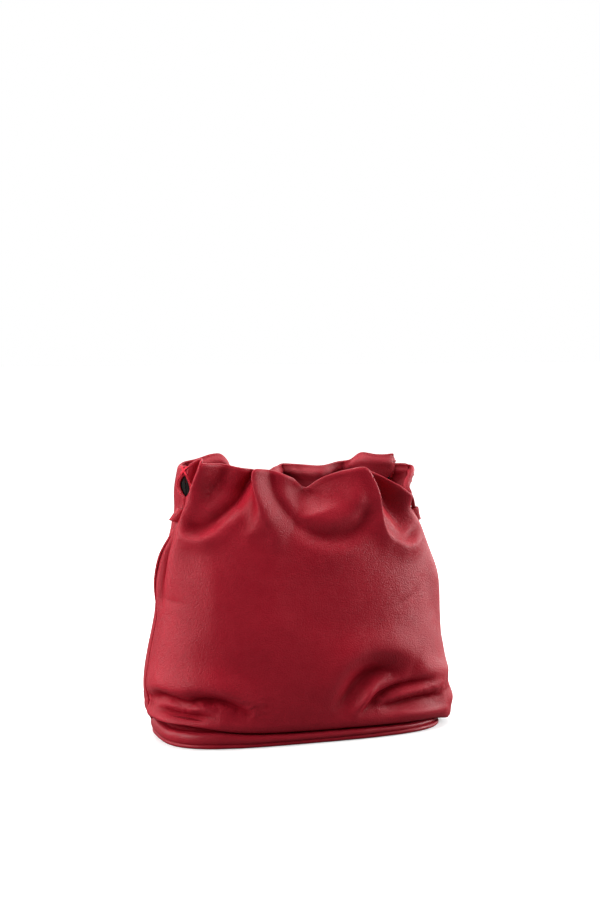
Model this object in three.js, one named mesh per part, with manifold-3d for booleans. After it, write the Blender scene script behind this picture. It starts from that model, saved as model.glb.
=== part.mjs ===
// Soft leather bucket bag: two wrap-round leather panels joined by side seams on an oval
// base, a drawstring in a rim facing, slits and keeper loops on both sides, lining and
// base board inside. Millimetres, +Z up, front face towards -Y, right side towards +X,
// origin on the floor under the middle of the base.
import * as THREE from "three";
import Module from "manifold-3d";

const wasm = await Module();
wasm.setup();

// ---------------------------------------------------------------- driving dimensions
// A "place" is a share of the way round the body: 0 is the left seam, 0.25 the front
// middle, 0.5 the right seam and 0.75 the back middle. A "depth" runs inwards from the
// outer face of the panels.
const LEFT = 0;
const RIGHT = 0.5;
const HALF_TURN = 0.5;

const LEATHER = 1.5; // outer leather
const LINING = 0.8; // lining cloth
const FACING = 1.2; // leather facing of the mouth
const RIM_Z = 240; // nominal height of the mouth edge
const SKIRT_Z = 13; // lower edge of the outer panels

const BEND_Z = 150; // where the soft panels bend when the mouth is drawn shut
const BEND_Y = 46; // bend line's distance from the middle plane
const BEND_GAP = 2.6; // opening left along the bend line, so the upper panels swing free
const TOP_SIDE_GAP = 0.0022; // the same at each side of an upper panel, as a place

const SLIT_LOW = 211; // side slits
const SLIT_HIGH = 229;
const SLIT_HALF = 0.0092; // half width of a slit, as a place

const CORD_RADIUS = 1.6; // drawstring
const CORD_DEPTH = 4.6;
const CORD_DROP = 7; // drawstring's middle below the mouth edge
const CORD_Y = 2; // each end's distance from the middle plane, outside the bag

const KEEPER_LENGTH = 13; // keeper loops, lying along the slope of the sides
const KEEPER_X = 122;
const KEEPER_Z = 193.5;
const TAIL_SLOPE = { out: 17, up: -66 }; // way the free ends hang

// Body at each height: [height, half width, half depth, squareness].
const LEVELS = [
  [0, 134, 66, 3.2],
  [13, 135, 67, 3.2],
  [24, 139.5, 69.5, 3.0],
  [42, 142, 70.5, 2.8],
  [75, 139.5, 69, 2.65],
  [110, 133, 64.5, 2.5],
  [150, 127, 58, 2.4],
  [185, 120, 51, 2.3],
  [212, 113, 45, 2.2],
  [240, 109, 40, 2.1],
  [262, 107, 38, 2.1],
];

// Gathers of the mouth: [place, size outwards, width]; minus is drawn inwards.
const GATHERS = [
  [0.262, -7.5, 0.03],
  [0.215, 4.5, 0.022],
  [0.31, 4.5, 0.022],
  [0.163, -5, 0.02],
  [0.12, 2.5, 0.02],
  [0.365, -5, 0.02],
  [0.66, -5, 0.025],
  [0.72, 3.5, 0.022],
  [0.77, -5, 0.024],
  [0.83, 3.5, 0.022],
];

// Height of the mouth edge above or below nominal: [place, height, width].
const RIM_BUMPS = [
  [0.1, 10, 0.025],
  [0.262, -11, 0.028],
  [0.31, 3, 0.02],
  [0.215, 2, 0.02],
  [0.4, 3, 0.03],
  [0.62, 8, 0.03],
  [0.77, -4, 0.03],
];

// ---------------------------------------------------------------- shape of the body
const wrap = (place) => ((place % 1) + 1) % 1;

// Sum of bell-shaped bumps at a place.
function bumps(list, place) {
  return list.reduce((sum, [centre, size, width]) => {
    const apart = Math.abs(place - centre);
    const nearest = Math.min(apart, 1 - apart);
    return sum + size * Math.exp(-((nearest / width) ** 2));
  }, 0);
}

const rimZ = (place) => RIM_Z + bumps(RIM_BUMPS, wrap(place));

// Half width, half depth and squareness at height z.
function level(z) {
  if (z <= LEVELS[0][0]) return LEVELS[0].slice(1);
  if (z >= LEVELS.at(-1)[0]) return LEVELS.at(-1).slice(1);
  const above = LEVELS.findIndex(([height]) => z <= height);
  const low = LEVELS[above - 1];
  const high = LEVELS[above];
  const t = (z - low[0]) / (high[0] - low[0]);
  return [1, 2, 3].map((k) => low[k] + (high[k] - low[k]) * t);
}

// Outline at height z: a function from place to [x, y], spaced evenly by length.
function makeOutline(z) {
  const [halfWidth, halfDepth, squareness] = level(z);
  const count = 720;
  const points = [];
  const travelled = [0];
  for (let i = 0; i <= count; i++) {
    const angle = Math.PI + (2 * Math.PI * i) / count;
    const across = Math.abs(Math.cos(angle) / halfWidth) ** squareness;
    const deep = Math.abs(Math.sin(angle) / halfDepth) ** squareness;
    const radius = 1 / (across + deep) ** (1 / squareness);
    const point = [radius * Math.cos(angle), radius * Math.sin(angle)];
    if (i) {
      const last = points[i - 1];
      travelled.push(travelled[i - 1] + Math.hypot(point[0] - last[0], point[1] - last[1]));
    }
    points.push(point);
  }
  return (place) => {
    const distance = wrap(place) * travelled[count];
    let low = 0;
    let high = count;
    while (high - low > 1) {
      const mid = (low + high) >> 1;
      if (travelled[mid] <= distance) low = mid;
      else high = mid;
    }
    const t = (distance - travelled[low]) / (travelled[high] - travelled[low]);
    return [0, 1].map((k) => points[low][k] + (points[high][k] - points[low][k]) * t);
  };
}

const outlines = new Map();
function outline(z) {
  const key = Math.round(z * 1000);
  if (!outlines.has(key)) outlines.set(key, makeOutline(z));
  return outlines.get(key);
}

// A point of the body; the gathers grow from nothing at the bend to full near the mouth.
function skin(place, z, depth = 0) {
  const reach = 0.004; // to each side, for the direction of the outline
  const pointAt = outline(z);
  const [x, y] = pointAt(place);
  const before = pointAt(place - reach);
  const after = pointAt(place + reach);
  const alongX = after[0] - before[0];
  const alongY = after[1] - before[1];
  const span = Math.hypot(alongX, alongY);
  const fade = THREE.MathUtils.smoothstep(z, BEND_Z, RIM_Z - 5);
  const out = bumps(GATHERS, wrap(place)) * fade - depth;
  return new THREE.Vector3(x + (alongY / span) * out, y - (alongX / span) * out, z);
}

// ---------------------------------------------------------------- geometry helpers
const spaced = (from, to, count) =>
  Array.from({ length: count + 1 }, (_, i) => from + ((to - from) * i) / count);

const vector2s = (points) => points.map(([x, y]) => new THREE.Vector2(x, y));

// Corners of a regular polygon.
const polygon = (radius, sides, [x, y] = [0, 0]) =>
  Array.from({ length: sides }, (_, k) => {
    const angle = (2 * Math.PI * k) / sides;
    return [x + radius * Math.cos(angle), y + radius * Math.sin(angle)];
  });

// A closed surface with its triangles turned to face outwards.
function closedGeometry(points, faces) {
  const cross = new THREE.Vector3();
  let volume = 0;
  for (let i = 0; i < faces.length; i += 3) {
    cross.crossVectors(points[faces[i + 1]], points[faces[i + 2]]);
    volume += points[faces[i]].dot(cross);
  }
  if (volume < 0) {
    for (let i = 0; i < faces.length; i += 3) {
      [faces[i + 1], faces[i + 2]] = [faces[i + 2], faces[i + 1]];
    }
  }
  const geometry = new THREE.BufferGeometry().setFromPoints(points);
  geometry.setIndex(faces);
  geometry.computeVertexNormals();
  return geometry;
}

// A row of a sheet; z is a height, or a function from place to height.
const row = (z, outer, thickness) => ({
  z: typeof z === "function" ? z : () => z,
  depths: [outer, outer + thickness],
});

// A sheet of cloth or leather with a column at each place and a row at each height;
// keep(column, row) is false for the cells of an opening.
function sheet(places, rows, keep = () => true) {
  const columns = places.length;
  const points = [0, 1].flatMap((side) =>
    rows.flatMap(({ z, depths }) => places.map((s) => skin(s, z(s), depths[side]))),
  );
  const faces = [];
  const quad = (a, b, c, d) => faces.push(a, b, c, a, c, d);
  const solid = (i, j) =>
    i >= 0 && j >= 0 && i < columns - 1 && j < rows.length - 1 && keep(i, j);
  const corners = (side, i, j) => {
    const first = (side * rows.length + j) * columns + i;
    return [first, first + 1, first + columns + 1, first + columns];
  };
  for (let j = 0; j < rows.length - 1; j++) {
    for (let i = 0; i < columns - 1; i++) {
      if (!solid(i, j)) continue;
      const outer = corners(0, i, j);
      const inner = corners(1, i, j);
      quad(...outer);
      quad(...inner.toReversed());
      const neighbours = [[i, j - 1], [i + 1, j], [i, j + 1], [i - 1, j]];
      neighbours.forEach((cell, k) => {
        const next = (k + 1) % 4;
        if (!solid(...cell)) quad(outer[next], outer[k], inner[k], inner[next]);
      });
    }
  }

  // Drop the points that belong only to openings.
  const used = [...new Set(faces)];
  const newIndex = new Map(used.map((old, i) => [old, i]));
  return closedGeometry(
    used.map((old) => points[old]),
    faces.map((old) => newIndex.get(old)),
  );
}

// A profile carried round the body; profile(place) gives its [depth, height] points.
function along(places, profile, closed = false) {
  const rings = places.map((s) => profile(s).map(([depth, z]) => skin(s, z, depth)));
  const sides = rings[0].length;
  const faces = [];
  const spans = closed ? places.length : places.length - 1;
  for (let i = 0; i < spans; i++) {
    const here = i * sides;
    const there = ((i + 1) % places.length) * sides;
    for (let k = 0; k < sides; k++) {
      const next = (k + 1) % sides;
      faces.push(here + k, there + k, there + next, here + k, there + next, here + next);
    }
  }
  if (!closed) {
    const cap = (s) => THREE.ShapeUtils.triangulateShape(vector2s(profile(s)), []);
    const end = (places.length - 1) * sides;
    for (const [a, b, c] of cap(places[0])) faces.push(a, b, c);
    for (const [a, b, c] of cap(places.at(-1))) faces.push(end + c, end + b, end + a);
  }
  return closedGeometry(rings.flat(), faces);
}

function tube(points, { radius, steps, sides = 8 }) {
  return new THREE.ExtrudeGeometry(new THREE.Shape(vector2s(polygon(radius, sides))), {
    steps,
    bevelEnabled: false,
    extrudePath: new THREE.CatmullRomCurve3(points, false, "centripetal"),
  });
}

// Manifold solid of a geometry, with coincident points joined.
function toSolid(geometry) {
  const source = geometry.index ? geometry.toNonIndexed() : geometry;
  const position = source.attributes.position;
  const indexOf = new Map();
  const vertices = [];
  const triangles = [];
  for (let i = 0; i < position.count; i++) {
    const point = [position.getX(i), position.getY(i), position.getZ(i)];
    const key = point.map((x) => Math.round(x * 1e4)).join();
    if (!indexOf.has(key)) {
      indexOf.set(key, vertices.length / 3);
      vertices.push(...point);
    }
    triangles.push(indexOf.get(key));
  }
  return new wasm.Manifold(
    new wasm.Mesh({
      numProp: 3,
      vertProperties: new Float32Array(vertices),
      triVerts: new Uint32Array(triangles),
    }),
  );
}

// Two overlapping geometries joined into one.
function union(first, second) {
  const mesh = toSolid(first).add(toSolid(second)).getMesh();
  const geometry = new THREE.BufferGeometry();
  geometry.setAttribute("position", new THREE.BufferAttribute(mesh.vertProperties, 3));
  geometry.setIndex(new THREE.BufferAttribute(mesh.triVerts, 1));
  geometry.computeVertexNormals();
  return geometry;
}

// ---------------------------------------------------------------- materials
const nonMetal = ({ color, roughness }) =>
  new THREE.MeshStandardMaterial({ color, roughness, metalness: 0 });

const redLeather = nonMetal({ color: 0x9c1b28, roughness: 0.45 });
const facingLeather = nonMetal({ color: 0xa3303a, roughness: 0.6 });
const cordLeather = nonMetal({ color: 0x8c1622, roughness: 0.5 });
const liningCloth = nonMetal({ color: 0x16110f, roughness: 0.95 });
const boardFibre = nonMetal({ color: 0x6e6558, roughness: 0.9 });
const thread = nonMetal({ color: 0xd8283a, roughness: 0.7 });

const bag = new THREE.Group();
function add(name, geometry, material) {
  const mesh = new THREE.Mesh(geometry, material);
  mesh.name = name;
  bag.add(mesh);
}

// ---------------------------------------------------------------- columns
// Places across the front half; the back half adds HALF_TURN.
const SEAM_GAP = 0.0008; // from the seam to the panel's edge
const MIDDLE_EDGE = 1 / 12; // where a panel's moving middle begins
const SIDE_STEP = 0.03; // column between the slit and the end of the side facing
const SIDE_FACING_REACH = 0.052;
const SIDE_CORD_REACH = 0.05;

const wing = [SEAM_GAP, SLIT_HALF, SIDE_STEP, SIDE_FACING_REACH, 0.066];
const middle = spaced(MIDDLE_EDGE, 0.5 - MIDDLE_EDGE, 16);
const innerMiddle = middle.slice(1, -1);
const fullHalf = [...wing, ...middle, ...wing.toReversed().map((s) => 0.5 - s)];

// Whether a cell of a full half is one of the `count` nearest either seam.
const nearSeam = (i, count) => i < count || i >= fullHalf.length - 1 - count;

// Height function at a share of the way from the bend gap up to the mouth edge.
const climb = (share) => (s) =>
  BEND_Z + BEND_GAP + (rimZ(s) - BEND_Z - BEND_GAP) * share;

// ---------------------------------------------------------------- panels and linings
// Panel: full below the bend, with side wings that run up to the mouth beside the slits.
function panel(turn) {
  const heights = [SKIRT_Z, 24, 42, 75, 110, BEND_Z, 185, SLIT_LOW, SLIT_HIGH, rimZ];
  const bendRow = heights.indexOf(BEND_Z);
  const slitRow = heights.indexOf(SLIT_LOW);
  return sheet(
    fullHalf.map((s) => s + turn),
    heights.map((z) => row(z, 0, LEATHER)),
    (i, j) => j < bendRow || (nearSeam(i, wing.length) && !(j === slitRow && nearSeam(i, 1))),
  );
}

// Upper middle of the panel, which swings at the bend line as the mouth is drawn shut.
function panelTop(turn) {
  const places = [middle[0] + TOP_SIDE_GAP, ...innerMiddle, middle.at(-1) - TOP_SIDE_GAP];
  return sheet(
    places.map((s) => s + turn),
    [0, 0.25, 0.5, 0.7, 0.85, 1].map((share) => row(climb(share), 0, LEATHER)),
  );
}

// Lining: full below the bend, with side wings that run up behind the slits.
function lining(turn) {
  // [height, depth]
  const stations = [
    [6, 7.4],
    [13.6, 7.4],
    [24, 2.2],
    [42, 2.2],
    [75, 2.2],
    [110, 2.2],
    [BEND_Z - 0.6, 2.2],
    [185, 2.2],
    [SLIT_LOW, 2.2],
    [216.5, 2.2],
  ];
  const bendRow = 6;
  return sheet(
    fullHalf.map((s) => s + turn),
    stations.map(([z, depth]) => row(z, depth, LINING)),
    (i, j) => j < bendRow || nearSeam(i, 3),
  );
}

function liningTop(turn) {
  return sheet(
    innerMiddle.map((s) => s + turn),
    [0, 0.25, 0.5, 0.7].map((share) => row(climb(share), 2.7, LINING)),
  );
}

// ---------------------------------------------------------------- mouth
// Facing profile: a channel closed all round but at its outer side, for the drawstring.
function channel(place) {
  const height = 22;
  const outer = 2.3;
  const inner = 8.9;
  const top = rimZ(place) - 0.2;
  const bottom = top - height;
  return [
    [outer, top],
    [outer, top - FACING],
    [inner - FACING, top - FACING],
    [inner - FACING, bottom + FACING],
    [outer, bottom + FACING],
    [outer, bottom],
    [inner, bottom],
    [inner, top],
  ];
}

const cord = (place) => polygon(CORD_RADIUS, 8, [CORD_DEPTH, rimZ(place) - CORD_DROP]);

function addHalf(name, turn) {
  const places = innerMiddle.map((s) => s + turn);
  add(name + "_panel", panel(turn), redLeather);
  add(name + "_panel_top", panelTop(turn), redLeather);
  add(name + "_lining", lining(turn), liningCloth);
  add(name + "_lining_top", liningTop(turn), liningCloth);
  add(name + "_rim_facing", along(places, channel), facingLeather);
  add("drawstring_" + name + "_run", along(places, cord), cordLeather);
}

// Side facings, and the cord where it passes the left side.
function addMouthSides() {
  const around = (centre, reach) =>
    [-reach, -SIDE_STEP, -SLIT_HALF, 0, SLIT_HALF, SIDE_STEP, reach].map((s) => centre + s);
  for (const [side, seam] of [["left", LEFT], ["right", RIGHT]]) {
    add(side + "_rim_facing", along(around(seam, SIDE_FACING_REACH), channel), facingLeather);
  }
  add("drawstring_left_turn", along(around(LEFT, SIDE_CORD_REACH), cord), cordLeather);
}

addHalf("front", 0);
addMouthSides();
addHalf("back", HALF_TURN);

// ---------------------------------------------------------------- drawstring ends, right side
// Each end leaves the tunnel by the right slit and runs down to the keeper loop.
// Inside the tunnel: [place, height].
const EXIT_INSIDE = [[0.462, 232.4], [0.476, 229.5], [0.486, 225.5]];
// Through the slit and down outside: [x, distance from the middle plane, z].
const EXIT_OUTSIDE = [
  [108.2, 2.6, 222.6],
  [111.8, 2.1, 221.2],
  [115.4, CORD_Y, 218],
  [117.7, CORD_Y, 212.5],
  [118.9, CORD_Y, 206.8],
  [120, CORD_Y, 202.2],
];

function drawstringExit(ySign) {
  const inside = EXIT_INSIDE.map(([place, z]) => skin(place, z, CORD_DEPTH).toArray());
  const path = [...inside, ...EXIT_OUTSIDE].map(
    ([x, y, z]) => new THREE.Vector3(x, Math.abs(y) * ySign, z),
  );
  return tube(path, { radius: CORD_RADIUS, steps: 22 });
}

// Free end below the keeper loop, with a ball for its overhand knot.
function drawstringTail(ySign, knotAt) {
  const direction = new THREE.Vector3(TAIL_SLOPE.out, 0, TAIL_SLOPE.up).normalize();
  const start = new THREE.Vector3(KEEPER_X + 0.2, CORD_Y * ySign, KEEPER_Z);
  start.addScaledVector(direction, 8.4);
  const pointAt = (distance, spread) => {
    const point = start.clone().addScaledVector(direction, distance);
    point.y += spread * ySign;
    return point;
  };
  const knotCentre = pointAt(knotAt, 2.6);
  const path = [pointAt(0, 0), pointAt(knotAt * 0.5, 0.6), knotCentre, pointAt(knotAt + 16, 4.2)];
  const knot = new THREE.SphereGeometry(3.9, 10, 8).translate(...knotCentre.toArray());
  return union(tube(path, { radius: CORD_RADIUS, steps: 10 }), knot);
}

for (const [name, ySign, knotAt] of [["front", -1, 66], ["back", 1, 58]]) {
  add("drawstring_exit_" + name, drawstringExit(ySign), cordLeather);
  add("drawstring_tail_" + name, drawstringTail(ySign, knotAt), cordLeather);
}

// ---------------------------------------------------------------- side details
// Raised turned edge of the side seam, from above the skirt up to below the keeper.
function seamWelt(seam) {
  const path = [20, 32, 48, 75, 110, 150, 178].map((z) => skin(seam, z, -2.3));
  return tube(path, { radius: 1.3, steps: 18, sides: 6 });
}

// Cross-shaped bar tack over the top of the slit.
function barTack(xSign) {
  const bar = (tilt) =>
    new THREE.BoxGeometry(0.9, 1.3, 9).rotateX(tilt).translate(xSign * 111.05, 0, 234.4);
  return union(bar(0.75), bar(-0.75));
}

// Keeper loop: a short flat sleeve over the seam below the slit. Its section has
// [across, outwards] points.
const KEEPER_OUTER = [[-8, -3.6], [8, -3.6], [8, 2.2], [6.2, 3.8], [-6.2, 3.8], [-8, 2.2]];
const KEEPER_HOLE = [
  [-6.7, -2.3], [-6.7, 1.8], [-5.6, 2.6], [5.6, 2.6], [6.7, 1.8], [6.7, -2.3],
];

function keeperLoop(xSign) {
  const section = new THREE.Shape(vector2s(KEEPER_OUTER));
  const hole = new THREE.Path(vector2s(KEEPER_HOLE));
  section.closePath();
  hole.closePath();
  section.holes.push(hole);
  const lean = Math.atan2(TAIL_SLOPE.out, TAIL_SLOPE.up) - Math.PI;
  return new THREE.ExtrudeGeometry(section, { depth: KEEPER_LENGTH, bevelEnabled: false })
    .rotateZ((-xSign * Math.PI) / 2)
    .translate(0, 0, -KEEPER_LENGTH / 2)
    .rotateY(xSign * lean)
    .translate(xSign * KEEPER_X, 0, KEEPER_Z);
}

for (const [side, seam, xSign] of [["left", LEFT, -1], ["right", RIGHT, 1]]) {
  add(side + "_seam_welt", seamWelt(seam), redLeather);
  add(side + "_bar_tack", barTack(xSign), thread);
  add(side + "_keeper_loop", keeperLoop(xSign), redLeather);
}

// ---------------------------------------------------------------- base
const ring = spaced(0, 1, 56).slice(0, -1);

// [depth, height]
const BAND_PROFILE = [
  [0.2, 6.4], [0.2, 10.6], [1.6, 12.4], [5.2, 12.4], [6.6, 11], [6.6, 5.4], [1.6, 4.9],
];
const PIPING_PROFILE = polygon(1.9, 8, [2.8, 2.5]);

// A flat oval plate whose edge lies at a depth within the body's foot.
function plate({ inset, bottom, thickness }) {
  const shape = new THREE.Shape(vector2s(ring.map((s) => skin(s, 0, inset).toArray())));
  return new THREE.ExtrudeGeometry(shape, { depth: thickness, bevelEnabled: false })
    .translate(0, 0, bottom);
}

add("base_band", along(ring, () => BAND_PROFILE, true), redLeather);
add("base_piping", along(ring, () => PIPING_PROFILE, true), redLeather);
add("base_panel", plate({ inset: 5.2, bottom: 0, thickness: 1.8 }), redLeather);
add("base_board", plate({ inset: 7.2, bottom: 2.1, thickness: 2.2 }), boardFibre);
add("base_lining", plate({ inset: 8.9, bottom: 4.7, thickness: LINING }), liningCloth);

// The upper middle of each panel swings about these two level axes.
bag.userData.mouthAxes = [
  [0, -BEND_Y, BEND_Z],
  [0, BEND_Y, BEND_Z],
];

export default bag;
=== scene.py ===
"""Soft leather bucket bag with a drawstring mouth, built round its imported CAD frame.

The bag stands on z = 0 with its front towards -y and its left side towards -x. The leather is a
lofted shell with sculpted folds; the facing, lining, cords, loops and stitches follow that shell.

A place round the shell is a fraction of a turn: 0 left seam, 0.25 front middle, 0.5 right seam,
0.75 back middle.
"""

import math

import bpy
import numpy as np
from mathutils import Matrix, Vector


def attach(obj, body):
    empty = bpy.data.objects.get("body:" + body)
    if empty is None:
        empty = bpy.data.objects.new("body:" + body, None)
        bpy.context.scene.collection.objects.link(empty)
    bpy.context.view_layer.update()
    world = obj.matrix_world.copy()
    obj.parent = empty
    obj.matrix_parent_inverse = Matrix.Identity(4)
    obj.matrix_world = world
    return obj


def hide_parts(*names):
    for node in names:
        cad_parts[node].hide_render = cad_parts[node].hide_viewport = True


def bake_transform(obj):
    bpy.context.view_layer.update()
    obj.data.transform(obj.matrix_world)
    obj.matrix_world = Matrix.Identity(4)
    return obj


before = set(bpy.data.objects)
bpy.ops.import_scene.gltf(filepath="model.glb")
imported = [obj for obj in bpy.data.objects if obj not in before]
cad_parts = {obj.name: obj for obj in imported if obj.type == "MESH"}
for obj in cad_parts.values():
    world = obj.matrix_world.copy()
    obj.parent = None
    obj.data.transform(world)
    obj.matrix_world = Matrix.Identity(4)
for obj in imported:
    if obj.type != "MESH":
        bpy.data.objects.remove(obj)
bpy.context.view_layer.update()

MM = 0.001
FRONT, BACK = 0.25, 0.75
HALVES = {"front": FRONT, "back": BACK}

# place, x direction, slit (bottom, top), the slit's half opening, height of the cross tack
SIDES = {
    "left": dict(place=0.0, outward=-1, slit=(218.0, 238.0), opening=5.6, tack_z=242.0),
    "right": dict(place=0.5, outward=1, slit=(207.0, 222.0), opening=2.8, tack_z=227.0),
}

# Plain body without folds: height, half width, half depth, squareness of the outline
BODY_LEVELS = np.array(
    [
        (0, 134, 66, 3.2), (13, 135, 67, 3.2), (24, 139.5, 69.5, 3.0), (42, 142, 70.5, 2.8),
        (75, 139.5, 69, 2.65), (110, 133, 64.5, 2.5), (150, 127, 58, 2.4), (185, 120, 51, 2.3),
        (212, 113, 45, 2.2), (240, 109, 40, 2.1), (262, 107, 38, 2.1),
    ],
    float,
)
LOOP_STEP = 2.0  # height between the stored outlines
LOOP_COLUMNS = 1440

# Upper edge of the leather: place, height
RIM = [
    (0, 246), (0.015, 250), (0.030, 253), (0.045, 251.5), (0.056, 249), (0.075, 248),
    (0.089, 247), (0.119, 243), (0.144, 240), (0.1675, 245), (0.191, 242), (0.219, 234),
    (0.2475, 224), (0.272, 233), (0.305, 240), (0.336, 243.5), (0.355, 243), (0.375, 240),
    (0.405, 231), (0.430, 221), (0.447, 214), (0.462, 220), (0.480, 234), (0.500, 240),
    (0.515, 240.5), (0.530, 240), (0.541, 240), (0.550, 246), (0.558, 248), (0.568, 250),
    (0.585, 249), (0.596, 252.5), (0.606, 247), (0.616, 243), (0.6425, 242), (0.685, 239),
    (0.736, 241), (0.780, 239), (0.800, 233), (0.840, 229), (0.870, 238), (0.880, 247),
    (0.895, 254), (0.910, 253), (0.930, 248), (0.960, 246), (0.980, 246), (1, 246),
]
# Lower edge of the leather: place, height
SKIRT = [
    (0, 20), (0.030, 23), (0.075, 24), (0.095, 21), (0.116, 17), (0.150, 14), (0.200, 12.5),
    (0.260, 12), (0.320, 12), (0.380, 11), (0.410, 10), (0.425, 9), (0.440, 7.5), (0.455, 5),
    (0.468, 3), (0.480, 3), (0.492, 5.5), (0.508, 9), (0.520, 10.5), (0.560, 12), (0.620, 11),
    (0.700, 13), (0.780, 12), (0.860, 14), (0.930, 17), (1, 20),
]

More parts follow.
